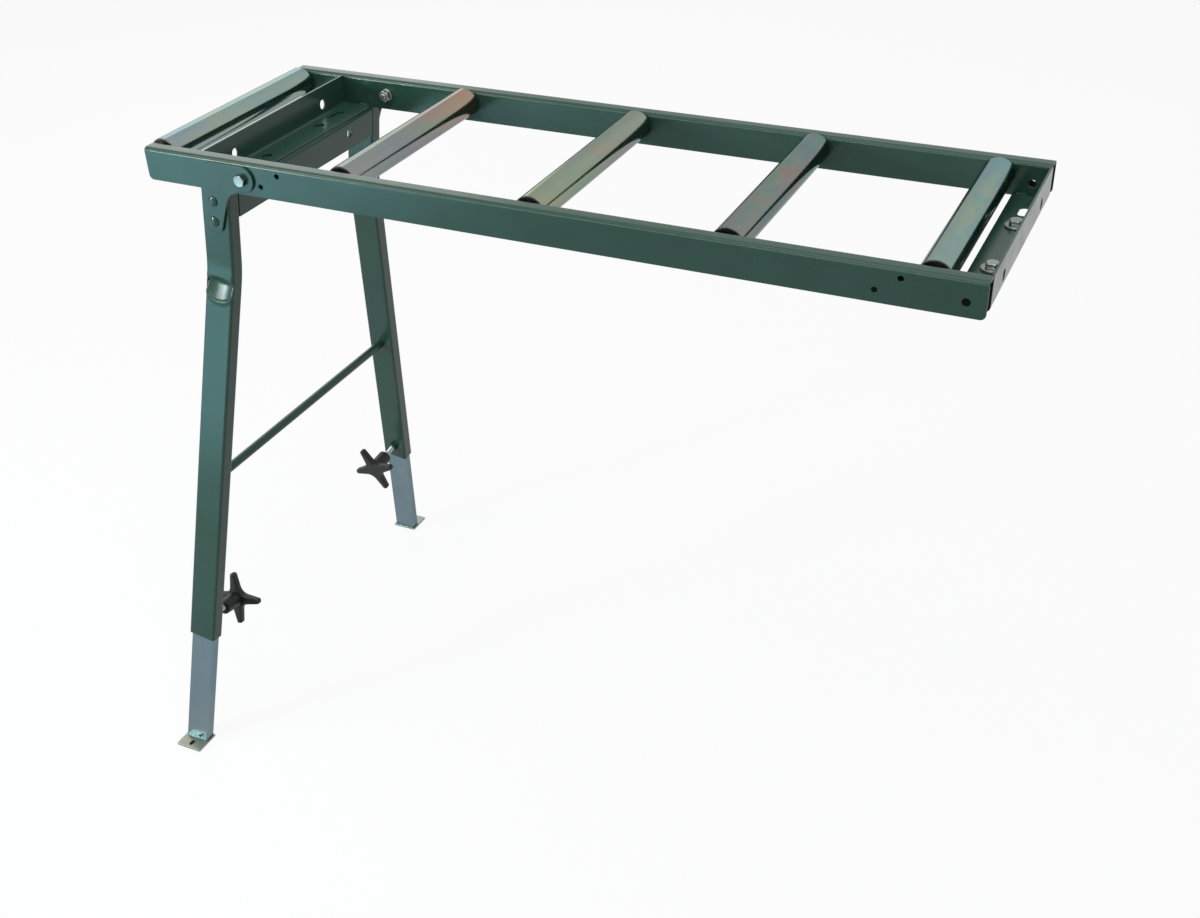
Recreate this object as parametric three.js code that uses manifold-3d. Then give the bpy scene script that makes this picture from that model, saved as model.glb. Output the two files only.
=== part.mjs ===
// Roller outfeed table: two channel rails, free-running rollers and a folding leg frame with
// telescopic feet. Millimetres, +Z up. The origin is the middle of the machine end's outer
// face; the table runs from there towards -X. Left is -Y and right is +Y.
import * as THREE from 'three';
import { mergeVertices } from 'three/addons/utils/BufferGeometryUtils.js';
import Module from 'manifold-3d';

const wasm = await Module();
wasm.setup();

// Table frame
const TABLE_LENGTH = 1000;
const TABLE_WIDTH = 332;
const TABLE_HEIGHT = 850; // floor to the top of the rails
const RAIL_HEIGHT = 40;
const RAIL_WIDTH = 20;
const RAIL_WALL = 2;
const RAIL_BEND_R = 5;
const RAIL_CORNER_R = 6;
const ACCESSORY_HOLE_R = 3.2;
const ACCESSORY_PAIR_STEP = 25;
const ACCESSORY_LOW_Z = -6.5;
const ACCESSORY_HIGH_Z = 9.6;
const OUTER_PAIR_INSET = 165; // outer end to the lower hole of that pair
const MACHINE_PAIR_INSET = 109; // machine end to the lower hole of that pair
const SIDE_HOLE_R = 4.5;
const SIDE_HOLE_INSET = 20;
const SIDE_HOLE_Z = -4;

// Angles across both ends
const ANGLE_LEG = 40;
const ANGLE_WALL = 2.5;
const ANGLE_BEND_R = 6;
const ANGLE_TOP_DROP = 1;
const OUTER_ANGLE_INSET = 72;
const ANGLE_HOLE_SPAN = 113;
const ANGLE_HOLE_R = 6.5;
const ANGLE_HOLE_INSET = 20;
const SPARE_SLOT_SPAN = 198; // slots in the lower flange, beside the holes
const SPARE_SLOT_WIDTH = 11;
const SPARE_SLOT_LENGTH = 26;
const SPARE_SLOT_INSET = 18;
const ANGLE_SLOT_SPAN = 187; // slots in the upright flange
const ANGLE_SLOT_WIDTH = 11;
const ANGLE_SLOT_LENGTH = 13;
const ANGLE_SLOT_Z = -4;

// Rollers
const ROLLER_COUNT = 5;
const ROLLER_DIAMETER = 36;
const ROLLER_WALL = 1.5;
const ROLLER_PROUD = 3.5; // roller top above the rail
const ROLLER_END_GAP = 3.75;
const OUTER_ROLLER_INSET = 8;
const MACHINE_ROLLER_INSET = 57;
const ROLLER_PITCH_STEP = 13.7; // each pitch is this much shorter than the one before it
const CAP_DEPTH = 12;
const CAP_RECESS = 1;
const CAP_BOSS_R = 7;
const AXLE_R = 4;
const AXLE_OVERHANG = 5; // past the inner web

// Folding leg frame
const PIVOT_INSET = 141; // outer end to the pivot
const LEG_LEAN = THREE.MathUtils.degToRad(7.62);
const LEG_SPLAY = THREE.MathUtils.degToRad(10.39);
const LEG_DEPTH = 40; // along the table
const LEG_WIDTH = 20; // across the table
const LEG_WALL = 2;
const LEG_CORNER_R = 3;
const LEG_UPPER = 112; // rail underside to the bend
const LEG_LOWER = 538; // bend to the open end
const LEG_BEND_R = 200;
const FOLD_CLEARANCE = 3; // folded leg to the rail's underside
const PLATE_WALL = 3;
const PLATE_BACK_INSET = 4; // leg's back face to the plate's back edge
const PLATE_NOSE_R = 16;
const PLATE_NOSE_END = THREE.MathUtils.degToRad(-79); // where the nose runs into the neck
const PLATE_NECK_DROP = 35; // pivot to where the neck meets the leg's front face
const PLATE_DROP = 79; // pivot to the plate's lower end
const PLATE_TIP_WIDTH = 26;
const PLATE_TIP_R = 8;
const PLATE_SHOULDER_R = 20;
const RIVET_R = 3;
const RIVET_HEAD_R = 6.5;
const RIVET_HEAD_HEIGHT = 2.6;
const RIVET_Z = [-39.6, -65.9];
const CROSS_ANGLE_HEIGHT = 40;
const CROSS_ANGLE_DEPTH = 36;
const CROSS_ANGLE_WALL = 3;
const CROSS_ANGLE_BEND_R = 5;
const CROSS_SLOT_SPAN = 184;
const CROSS_SLOT_DROP = 16.7;
const SPREADER_R = 6;
const SPREADER_DROP = 402; // rail underside to the rod, along the leg

// Telescopic feet and their clamps
const FOOT_CLEARANCE = 0.5;
const FOOT_WALL = 1.5;
const FOOT_CORNER_R = 2;
const FOOT_TUBE_LENGTH = 400;
const FOOT_PLATE_WALL = 3;
const FOOT_PLATE_LENGTH = 40;
const FOOT_PLATE_INNER = 10; // tube axis to the plate's inner edge
const FOOT_PLATE_OUTER = 27; // tube axis to the plate's outer edge
const FOOT_SLOT_REACH = 17.5;
const FOOT_SLOT_WIDTH = 5.5;
const FOOT_SLOT_LENGTH = 10;
const CLAMP_FROM_END = 24;
const KNOB_STANDOFF = 27; // leg's inner face to the knob's hub
const KNOB_HUB_R = 11;
const KNOB_HUB_LENGTH = 32;
const KNOB_HUB_EDGE = 1;
const KNOB_ARM_COUNT = 4;
const KNOB_ARM_R = 39;
const KNOB_ARM_WALL = 10;
const KNOB_ARM_TIP = 3.4; // half width at the tip
const KNOB_TIP_R = 2.6;
const KNOB_THROAT = 12; // knob's axis to the corner between two arms
const KNOB_THROAT_R = 13;
const KNOB_BORE_DEPTH = 18;
const LEFT_KNOB_TURN = THREE.MathUtils.degToRad(14);
const RIGHT_KNOB_TURN = THREE.MathUtils.degToRad(30);

// M8 hardware and fits
const BOLT_R = 4;
const HEX_FLATS = 13;
const HEAD_HEIGHT = 5.3;
const NUT_HEIGHT = 6.5;
const WASHER_R = 8;
const WASHER_WALL = 1.6;
const WIDE_WASHER_R = 12;
const WIDE_WASHER_WALL = 2;
const BOLT_END = 3; // thread past the nut
const MACHINE_BOLT_LENGTH = 30;
const MACHINE_BOLT_INSET = 18;
const SEAT_GAP = 0.3; // between pieces that touch
const RUNNING_GAP = 0.1; // roller plug on its axle
const HOLE_GAP = 0.3; // shank in its hole
const CUT_SPARE = 1; // cutter past the face that it leaves
const ROLLER_STEPS = 24;
const ROUND_STEPS = 16;
const CORNER_STEPS = 3;

// Places worked out from the sizes above
const HALF_WIDTH = TABLE_WIDTH / 2;
const RAIL_TOP = RAIL_HEIGHT / 2;
const RAIL_BOTTOM = -RAIL_HEIGHT / 2;
const INNER_WEB = HALF_WIDTH - RAIL_WIDTH;
const FLOOR_Z = RAIL_TOP - TABLE_HEIGHT;
const PIVOT_X = PIVOT_INSET - TABLE_LENGTH;
const LEG_FACE = RAIL_HEIGHT / 2 + FOLD_CLEARANCE; // pivot axis to the leg's front face
const LEG_AXIS = -LEG_FACE - LEG_DEPTH / 2;
const HOLE_R = BOLT_R + HOLE_GAP;
const cutLength = (wall) => 2 * (wall + CUT_SPARE); // of a cutter centred on one face of a wall
const X_AXIS = new THREE.Vector3(1, 0, 0);
const Y_AXIS = new THREE.Vector3(0, 1, 0);
const Z_AXIS = new THREE.Vector3(0, 0, 1);

const paint = () => new THREE.MeshStandardMaterial({ color: 0x3f5c56, roughness: 0.45, metalness: 0.1 });
const zinc = () => new THREE.MeshStandardMaterial({ color: 0xa3adaf, roughness: 0.35, metalness: 0.9 });
const plastic = () => new THREE.MeshStandardMaterial({ color: 0x262626, roughness: 0.6, metalness: 0 });

const table = new THREE.Group();

function addMesh(parent, name, geometry, material) {
  const mesh = new THREE.Mesh(geometry, material);
  mesh.name = name;
  parent.add(mesh);
  return mesh;
}

// Joins and cuts

function solidOf(geometry) {
  const bare = geometry.clone();
  bare.deleteAttribute('normal');
  bare.deleteAttribute('uv');
  const merged = mergeVertices(bare, 1e-4);
  return new wasm.Manifold(new wasm.Mesh({
    numProp: 3,
    vertProperties: new Float32Array(merged.attributes.position.array),
    triVerts: new Uint32Array(merged.index.array),
  }));
}

function geometryOf(solid) {
  const { vertProperties, triVerts } = solid.getMesh();
  const geometry = new THREE.BufferGeometry();
  geometry.setAttribute('position', new THREE.BufferAttribute(vertProperties, 3));
  geometry.setIndex(new THREE.BufferAttribute(triVerts, 1));
  geometry.computeVertexNormals();
  return geometry;
}

function cut(geometry, cutters) {
  return geometryOf(cutters.reduce((rest, cutter) => rest.subtract(solidOf(cutter)), solidOf(geometry)));
}

function join(...geometries) {
  return geometryOf(geometries.map(solidOf).reduce((whole, next) => whole.add(next)));
}

// Basic forms

function yCylinder(radius, length, steps = ROUND_STEPS) {
  return new THREE.CylinderGeometry(radius, radius, length, steps);
}

function zCylinder(radius, length, steps = ROUND_STEPS) {
  return yCylinder(radius, length, steps).rotateX(Math.PI / 2);
}

// A turned form about Y from closed (radius, y) corners.
function turned(corners, steps = ROUND_STEPS) {
  const profile = [...corners, corners[0]].map(([r, y]) => new THREE.Vector2(r, y));
  return new THREE.LatheGeometry(profile, steps);
}

function yRing(outer, inner, low, high, steps = ROUND_STEPS) {
  return turned([[inner, low], [outer, low], [outer, high], [inner, high]], steps);
}

// A shape drawn as (y, z), pulled along X.
function pulledAlongX(shape, low, high) {
  const options = { depth: high - low, bevelEnabled: false, curveSegments: CORNER_STEPS };
  const geometry = new THREE.ExtrudeGeometry(shape, options);
  geometry.applyMatrix4(new THREE.Matrix4().makeBasis(Y_AXIS, Z_AXIS, X_AXIS));
  return geometry.translate(low, 0, 0);
}

// A shape drawn as (x, z), pulled along Y.
function pulledAlongY(shape, low, high, curveSegments = CORNER_STEPS) {
  const options = { depth: high - low, bevelEnabled: false, curveSegments };
  const geometry = new THREE.ExtrudeGeometry(shape, options);
  geometry.applyMatrix4(new THREE.Matrix4().makeBasis(X_AXIS, Z_AXIS, Y_AXIS.clone().negate()));
  return geometry.translate(0, high, 0);
}

// A shape drawn as (x, y), pulled along Z.
function pulledAlongZ(shape, low, high) {
  const options = { depth: high - low, bevelEnabled: false, curveSegments: CORNER_STEPS };
  return new THREE.ExtrudeGeometry(shape, options).translate(0, 0, low);
}

// A round-ended slot, centred, with its length along the shape's second axis.
function slotShape(width, length) {
  const reach = (length - width) / 2;
  const shape = new THREE.Shape();
  shape.absarc(0, reach, width / 2, 0, Math.PI, false);
  shape.absarc(0, -reach, width / 2, Math.PI, 2 * Math.PI, false);
  return shape;
}

// Corners of a rounded rectangle about the origin, counter-clockwise.
function roundedOutline(width, depth, radius) {
  const centres = [[1, 1], [-1, 1], [-1, -1], [1, -1]];
  return centres.flatMap(([sx, sy], quarter) => {
    const cx = sx * (width / 2 - radius);
    const cy = sy * (depth / 2 - radius);
    return Array.from({ length: CORNER_STEPS + 1 }, (_, step) => {
      const angle = (quarter + step / CORNER_STEPS) * Math.PI / 2;
      return new THREE.Vector2(cx + radius * Math.cos(angle), cy + radius * Math.sin(angle));
    });
  });
}

// A closed skin over rings of points that run downwards; inner rings make it a tube.
function skinned(outerRings, innerRings = null) {
  const count = outerRings[0].length;
  const positions = [];
  const faces = [];
  const placePoint = (point) => positions.push(point.x, point.y, point.z) / 3 - 1;
  const place = (rings) => rings.map((ring) => ring.map(placePoint));
  const wrap = (rings, outward) => {
    for (let row = 0; row + 1 < rings.length; row += 1) {
      for (let i = 0; i < count; i += 1) {
        const j = (i + 1) % count;
        const [a, b, c, d] = [rings[row][i], rings[row][j], rings[row + 1][j], rings[row + 1][i]];
        faces.push(...(outward ? [a, d, b, b, d, c] : [a, b, d, b, c, d]));
      }
    }
  };
  const fan = (ring) => ring.slice(2).map((last, i) => [ring[0], ring[i + 1], last]);
  const band = (outer, inner) => outer.map((start, i) => {
    const j = (i + 1) % count;
    return [start, outer[j], inner[j], start, inner[j], inner[i]];
  });
  const cap = (outer, inner, upward) => {
    const patches = inner ? band(outer, inner) : fan(outer);
    patches.forEach((patch) => faces.push(...(upward ? patch : patch.reverse())));
  };
  const outer = place(outerRings);
  const inner = innerRings ? place(innerRings) : null;
  wrap(outer, true);
  if (inner) wrap(inner, false);
  cap(outer[0], inner ? inner[0] : null, true);
  cap(outer.at(-1), inner ? inner.at(-1) : null, false);
  const geometry = new THREE.BufferGeometry();
  geometry.setAttribute('position', new THREE.Float32BufferAttribute(positions, 3));
  geometry.setIndex(faces);
  return geometryOf(solidOf(geometry));
}

// Rails

function railProfile(side) {
  const outerR = RAIL_BEND_R;
  const innerR = RAIL_BEND_R - RAIL_WALL;
  const low = Math.min(side * HALF_WIDTH, side * INNER_WEB);
  const high = low + RAIL_WIDTH;
  const shape = new THREE.Shape();
  shape.moveTo(low, RAIL_BOTTOM);
  shape.lineTo(low + RAIL_WALL, RAIL_BOTTOM);
  shape.absarc(low + outerR, RAIL_TOP - outerR, innerR, Math.PI, Math.PI / 2, true);
  shape.absarc(high - outerR, RAIL_TOP - outerR, innerR, Math.PI / 2, 0, true);
  shape.lineTo(high - RAIL_WALL, RAIL_BOTTOM);
  shape.lineTo(high, RAIL_BOTTOM);
  shape.absarc(high - outerR, RAIL_TOP - outerR, outerR, 0, Math.PI / 2, false);
  shape.absarc(low + outerR, RAIL_TOP - outerR, outerR, Math.PI / 2, Math.PI, false);
  shape.closePath();
  return shape;
}

// What rounds a rail's lower corner at the end x, where outward is the end's direction.
function railCornerCutter(x, outward) {
  const spare = CUT_SPARE;
  const r = RAIL_CORNER_R;
  const centreX = x - outward * r;
  const shape = new THREE.Shape();
  shape.moveTo(x + outward * spare, RAIL_BOTTOM + r);
  shape.absarc(centreX, RAIL_BOTTOM + r, r, outward > 0 ? 0 : Math.PI, -Math.PI / 2, outward > 0);
  shape.lineTo(centreX, RAIL_BOTTOM - spare);
  shape.lineTo(x + outward * spare, RAIL_BOTTOM - spare);
  shape.closePath();
  return pulledAlongY(shape, -HALF_WIDTH - spare, HALF_WIDTH + spare);
}

const ROLLER_Z = RAIL_TOP + ROLLER_PROUD - ROLLER_DIAMETER / 2;
const ROLLER_SPAN = TABLE_LENGTH - OUTER_ROLLER_INSET - MACHINE_ROLLER_INSET;
const PITCH_COUNT = ROLLER_COUNT - 1;
const FIRST_PITCH = ROLLER_SPAN / PITCH_COUNT + ROLLER_PITCH_STEP * (PITCH_COUNT - 1) / 2;
const rollerX = (index) => (
  OUTER_ROLLER_INSET - TABLE_LENGTH + index * FIRST_PITCH - ROLLER_PITCH_STEP * index * (index - 1) / 2
);
const rollerIndices = Array.from({ length: ROLLER_COUNT }, (_, index) => index);

function railHoles(side) {
  const webHole = (radius, y, x, z) => yCylinder(radius, cutLength(RAIL_WALL)).translate(x, y, z);
  const outerY = side * HALF_WIDTH;
  const innerY = side * INNER_WEB;
  const outerPair = OUTER_PAIR_INSET - TABLE_LENGTH;
  const machinePair = -MACHINE_PAIR_INSET;
  const accessory = [outerPair, machinePair].flatMap((x) => [
    webHole(ACCESSORY_HOLE_R, outerY, x, ACCESSORY_LOW_Z),
    webHole(ACCESSORY_HOLE_R, outerY, x + ACCESSORY_PAIR_STEP, ACCESSORY_HIGH_Z),
  ]);
  const through = [
    [SIDE_HOLE_R, -SIDE_HOLE_INSET, SIDE_HOLE_Z],
    [HOLE_R, PIVOT_X, 0],
  ].flatMap(([radius, x, z]) => [webHole(radius, outerY, x, z), webHole(radius, innerY, x, z)]);
  const axles = rollerIndices.map((index) => webHole(AXLE_R + HOLE_GAP, innerY, rollerX(index), ROLLER_Z));
  return [...accessory, ...through, ...axles];
}

for (const [name, side] of [['left_rail', -1], ['right_rail', 1]]) {
  const bar = pulledAlongX(railProfile(side), -TABLE_LENGTH, 0);
  const corners = [railCornerCutter(0, 1), railCornerCutter(-TABLE_LENGTH, -1)];
  addMesh(table, name, cut(bar, [...corners, ...railHoles(side)]), paint());
}

// End angles: upright flange at x = 0 facing +X, lower flange towards -X

function angleGeometry() {
  const halfLength = INNER_WEB - SEAT_GAP;
  const top = RAIL_TOP - ANGLE_TOP_DROP;
  const innerR = ANGLE_BEND_R - ANGLE_WALL;
  const shape = new THREE.Shape();
  shape.moveTo(0, top);
  shape.lineTo(-ANGLE_WALL, top);
  shape.absarc(-ANGLE_BEND_R, RAIL_BOTTOM + ANGLE_BEND_R, innerR, 0, -Math.PI / 2, true);
  shape.lineTo(-ANGLE_LEG, RAIL_BOTTOM + ANGLE_WALL);
  shape.lineTo(-ANGLE_LEG, RAIL_BOTTOM);
  shape.absarc(-ANGLE_BEND_R, RAIL_BOTTOM + ANGLE_BEND_R, ANGLE_BEND_R, -Math.PI / 2, 0, false);
  shape.closePath();
  const through = cutLength(ANGLE_WALL);
  const spareShape = slotShape(SPARE_SLOT_WIDTH, SPARE_SLOT_LENGTH);
  const openings = [-1, 1].flatMap((side) => [
    zCylinder(ANGLE_HOLE_R, through).translate(-ANGLE_HOLE_INSET, side * ANGLE_HOLE_SPAN / 2, RAIL_BOTTOM),
    pulledAlongZ(spareShape, -through / 2, through / 2)
      .translate(-SPARE_SLOT_INSET, side * SPARE_SLOT_SPAN / 2, RAIL_BOTTOM),
    pulledAlongX(slotShape(ANGLE_SLOT_WIDTH, ANGLE_SLOT_LENGTH), -through / 2, through / 2)
      .translate(0, side * ANGLE_SLOT_SPAN / 2, ANGLE_SLOT_Z),
  ]);
  return cut(pulledAlongY(shape, -halfLength, halfLength), openings);
}

addMesh(table, 'machine_angle', angleGeometry(), paint());
const outerAngle = addMesh(table, 'outer_angle', angleGeometry(), paint());
outerAngle.position.x = OUTER_ANGLE_INSET - TABLE_LENGTH;
outerAngle.rotation.z = Math.PI;

// Hardware

const hexRadius = HEX_FLATS / Math.sqrt(3);

// A hex bolt along +Y: the head's seat is at y = 0 and the shank runs to y = length.
function boltGeometry(length) {
  const overlap = HEAD_HEIGHT / 2;
  const head = yCylinder(hexRadius, HEAD_HEIGHT, 6).translate(0, -HEAD_HEIGHT / 2, 0);
  const shank = yCylinder(BOLT_R, length + overlap).translate(0, (length - overlap) / 2, 0);
  return join(head, shank);
}

function nutGeometry() {
  const body = yCylinder(hexRadius, NUT_HEIGHT, 6).translate(0, NUT_HEIGHT / 2, 0);
  return cut(body, [yCylinder(HOLE_R, cutLength(NUT_HEIGHT))]);
}

const washerGeometry = (radius, wall) => yRing(radius, HOLE_R, 0, wall);

const PLATE_FACE = -PLATE_WALL - SEAT_GAP; // plate's outer face, from the rail's outer face

for (const [name, turn] of [['left', 0], ['right', Math.PI]]) {
  const pivot = new THREE.Group();
  pivot.position.x = PIVOT_X;
  pivot.rotation.z = turn;
  table.add(pivot);
  const headSeat = -HALF_WIDTH + PLATE_FACE - SEAT_GAP;
  const washerSeat = -INNER_WEB + SEAT_GAP;
  const nutSeat = washerSeat + WASHER_WALL + SEAT_GAP;
  const length = nutSeat + NUT_HEIGHT + BOLT_END - headSeat;
  addMesh(pivot, `${name}_pivot_bolt`, boltGeometry(length), zinc()).position.y = headSeat;
  const washer = washerGeometry(WASHER_R, WASHER_WALL);
  addMesh(pivot, `${name}_pivot_washer`, washer, zinc()).position.y = washerSeat;
  addMesh(pivot, `${name}_pivot_nut`, nutGeometry(), zinc()).position.y = nutSeat;
}

[-1, 1].forEach((side, index) => {
  const stack = new THREE.Group();
  stack.position.set(-MACHINE_BOLT_INSET, side * ANGLE_HOLE_SPAN / 2, RAIL_BOTTOM + ANGLE_WALL + SEAT_GAP);
  stack.rotation.x = -Math.PI / 2;
  table.add(stack);
  const washer = washerGeometry(WIDE_WASHER_R, WIDE_WASHER_WALL);
  addMesh(stack, `machine_washer_${index + 1}`, washer, zinc()).position.y = -WIDE_WASHER_WALL;
  const bolt = addMesh(stack, `machine_bolt_${index + 1}`, boltGeometry(MACHINE_BOLT_LENGTH), zinc());
  bolt.position.y = -WIDE_WASHER_WALL - SEAT_GAP;
});

// Rollers

const ROLLER_LENGTH = 2 * (INNER_WEB - ROLLER_END_GAP);
const ROLLER_BORE = ROLLER_DIAMETER / 2 - ROLLER_WALL;

// An end plug along +Y, with its boss towards the web at y = 0.
function capGeometry() {
  const face = ROLLER_END_GAP + CAP_RECESS;
  const bore = AXLE_R + RUNNING_GAP;
  const rim = ROLLER_BORE - SEAT_GAP;
  return turned([
    [bore, SEAT_GAP],
    [CAP_BOSS_R, SEAT_GAP],
    [CAP_BOSS_R, face],
    [rim, face],
    [rim, face + CAP_DEPTH],
    [bore, face + CAP_DEPTH],
  ]);
}

for (const index of rollerIndices) {
  const number = index + 1;
  const roller = new THREE.Group();
  roller.position.set(rollerX(index), 0, ROLLER_Z);
  table.add(roller);
  const halfTube = ROLLER_LENGTH / 2;
  const tube = yRing(ROLLER_DIAMETER / 2, ROLLER_BORE, -halfTube, halfTube, ROLLER_STEPS);
  addMesh(roller, `roller_tube_${number}`, tube, zinc());
  addMesh(roller, `roller_${number}_left_cap`, capGeometry(), plastic()).position.y = -INNER_WEB;
  const rightCap = addMesh(roller, `roller_${number}_right_cap`, capGeometry(), plastic());
  rightCap.position.y = INNER_WEB;
  rightCap.rotation.z = Math.PI;
  const axleLength = 2 * (INNER_WEB + RAIL_WALL + AXLE_OVERHANG);
  addMesh(roller, `roller_axle_${number}`, yCylinder(AXLE_R, axleLength), zinc());
}

// Leg frame: its group has the pivot axis as Y and runs down the leaning legs along -Z

const legFrame = new THREE.Group();
legFrame.position.x = PIVOT_X;
legFrame.rotation.y = LEG_LEAN;
table.add(legFrame);

const legTop = (x) => (RAIL_BOTTOM - SEAT_GAP + x * Math.sin(LEG_LEAN)) / Math.cos(LEG_LEAN);
const LEG_START = (RAIL_BOTTOM + LEG_AXIS * Math.sin(LEG_LEAN)) / Math.cos(LEG_LEAN);
const LEG_BEND_Z = LEG_START - LEG_UPPER;
const legY = (side) => side * (HALF_WIDTH - LEG_WIDTH / 2);

// Rings of one wall of a bent leg: outline is its section, level with the rail at the top.
function legRings(outline, side) {
  const tangent = LEG_BEND_R * Math.tan(LEG_SPLAY / 2);
  const ringAt = (y, z, angle) => outline.map((point) => new THREE.Vector3(
    LEG_AXIS + point.x,
    y + point.y * Math.cos(angle),
    z + point.y * side * Math.sin(angle),
  ));
  const top = outline.map((point) => (
    new THREE.Vector3(LEG_AXIS + point.x, legY(side) + point.y, legTop(LEG_AXIS + point.x))
  ));
  const bend = Array.from({ length: CORNER_STEPS + 1 }, (_, step) => {
    const angle = LEG_SPLAY * step / CORNER_STEPS;
    const y = legY(side) + side * LEG_BEND_R * (1 - Math.cos(angle));
    const z = LEG_BEND_Z + tangent - LEG_BEND_R * Math.sin(angle);
    return ringAt(y, z, angle);
  });
  const endY = legY(side) + side * LEG_LOWER * Math.sin(LEG_SPLAY);
  const endZ = LEG_BEND_Z - LEG_LOWER * Math.cos(LEG_SPLAY);
  return [top, ...bend, ringAt(endY, endZ, LEG_SPLAY)];
}

const CLAMP_DROP = LEG_LOWER - CLAMP_FROM_END; // bend to the clamp screw, along the leg

function lowerLegGroup(side) {
  const group = new THREE.Group();
  group.position.set(LEG_AXIS, legY(side), LEG_BEND_Z);
  group.rotation.x = side * LEG_SPLAY;
  return group;
}

function legGeometry(side) {
  const outer = roundedOutline(LEG_DEPTH, LEG_WIDTH, LEG_CORNER_R);
  const innerR = LEG_CORNER_R - LEG_WALL;
  const inner = roundedOutline(LEG_DEPTH - 2 * LEG_WALL, LEG_WIDTH - 2 * LEG_WALL, innerR);
  const rivetHoles = RIVET_Z.map((z) => (
    yCylinder(RIVET_R + HOLE_GAP, cutLength(LEG_WALL)).translate(LEG_AXIS, side * HALF_WIDTH, z)
  ));
  const clampHole = yCylinder(HOLE_R, cutLength(LEG_WALL)).translate(0, -side * LEG_WIDTH / 2, -CLAMP_DROP);
  const lower = lowerLegGroup(side);
  lower.updateMatrix();
  clampHole.applyMatrix4(lower.matrix);
  return cut(skinned(legRings(outer, side), legRings(inner, side)), [...rivetHoles, clampHole]);
}

// Pivot plate outline as (x, z) about the pivot; its top edge is level with the rail.
function plateShape() {
  const back = LEG_AXIS - LEG_DEPTH / 2 + PLATE_BACK_INSET;
  const noseTop = Math.PI / 2 + LEG_LEAN;
  const level = new THREE.Vector2(Math.cos(LEG_LEAN), Math.sin(LEG_LEAN));
  const topStart = new THREE.Vector2(Math.cos(noseTop), Math.sin(noseTop)).multiplyScalar(PLATE_NOSE_R);
  const shoulder = topStart.clone().addScaledVector(level, (back - topStart.x) / level.x);
  const shoulderStart = shoulder.clone().addScaledVector(level, PLATE_SHOULDER_R);
  const tipX = back + PLATE_TIP_WIDTH;
  const neckX = -LEG_FACE;
  const noseFoot = new THREE.Vector2(Math.cos(PLATE_NOSE_END), Math.sin(PLATE_NOSE_END));
  noseFoot.multiplyScalar(PLATE_NOSE_R);
  const neckPull = noseFoot.y + (noseFoot.x - neckX) / Math.tan(PLATE_NOSE_END);
  const shape = new THREE.Shape();
  shape.absarc(0, 0, PLATE_NOSE_R, PLATE_NOSE_END, noseTop, false);
  shape.lineTo(shoulderStart.x, shoulderStart.y);
  shape.quadraticCurveTo(shoulder.x, shoulder.y, back, shoulder.y - PLATE_SHOULDER_R);
  shape.lineTo(back, PLATE_TIP_R - PLATE_DROP);
  shape.quadraticCurveTo(back, -PLATE_DROP, back + PLATE_TIP_R, -PLATE_DROP);
  shape.lineTo(tipX - PLATE_TIP_R, -PLATE_DROP);
  shape.quadraticCurveTo(tipX, -PLATE_DROP, tipX, PLATE_TIP_R - PLATE_DROP);
  shape.lineTo(neckX, -PLATE_NECK_DROP);
  shape.quadraticCurveTo(neckX, neckPull, noseFoot.x, noseFoot.y);
  return shape;
}

// A plate with its outer side towards the given side, pierced for the pivot and the rivets.
function pivotPlateGeometry(side) {
  const faces = [side * (HALF_WIDTH + SEAT_GAP), side * (HALF_WIDTH - PLATE_FACE)];
  const sheet = pulledAlongY(plateShape(), Math.min(...faces), Math.max(...faces), 2 * CORNER_STEPS);
  const middle = side * HALF_WIDTH;
  const through = cutLength(PLATE_WALL + SEAT_GAP);
  const holes = RIVET_Z.map((z) => yCylinder(RIVET_R + HOLE_GAP, through).translate(LEG_AXIS, middle, z));
  return cut(sheet, [yCylinder(HOLE_R, through).translate(0, middle, 0), ...holes]);
}

// A domed rivet along +Y: the head's seat is at y = 0 and the shank fills plate and leg wall.
function rivetGeometry() {
  const shank = PLATE_WALL + LEG_WALL + 4 * SEAT_GAP;
  const dome = Array.from({ length: CORNER_STEPS + 1 }, (_, step) => {
    const angle = step / CORNER_STEPS * Math.PI / 2;
    return [RIVET_HEAD_R * Math.sin(angle), -RIVET_HEAD_HEIGHT * Math.cos(angle)];
  });
  return turned([...dome, [RIVET_R, 0], [RIVET_R, shank], [0, shank]]);
}

// The cross angle's upright flange lies along the legs and its top flange is level with the rails.
function crossAngleGeometry() {
  const front = -LEG_FACE;
  const back = front - CROSS_ANGLE_DEPTH;
  const inner = front - CROSS_ANGLE_WALL;
  const bendEnd = front - CROSS_ANGLE_BEND_R;
  const top = legTop(front);
  const bottom = top - CROSS_ANGLE_HEIGHT;
  const topWall = CROSS_ANGLE_WALL / Math.cos(LEG_LEAN);
  const shape = new THREE.Shape();
  shape.moveTo(front, bottom);
  shape.lineTo(front, top - CROSS_ANGLE_BEND_R);
  shape.quadraticCurveTo(front, top, bendEnd, legTop(bendEnd));
  shape.lineTo(back, legTop(back));
  shape.lineTo(back, legTop(back) - topWall);
  shape.lineTo(inner, legTop(inner) - topWall);
  shape.lineTo(inner, bottom);
  shape.closePath();
  const halfLength = HALF_WIDTH - LEG_WIDTH - SEAT_GAP;
  const through = cutLength(CROSS_ANGLE_WALL);
  const slots = [-1, 1].map((side) => (
    pulledAlongX(slotShape(ANGLE_SLOT_WIDTH, ANGLE_SLOT_LENGTH), -through / 2, through / 2)
      .translate(front, side * CROSS_SLOT_SPAN / 2, top - CROSS_SLOT_DROP)
  ));
  return cut(pulledAlongY(shape, -halfLength, halfLength), slots);
}

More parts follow.
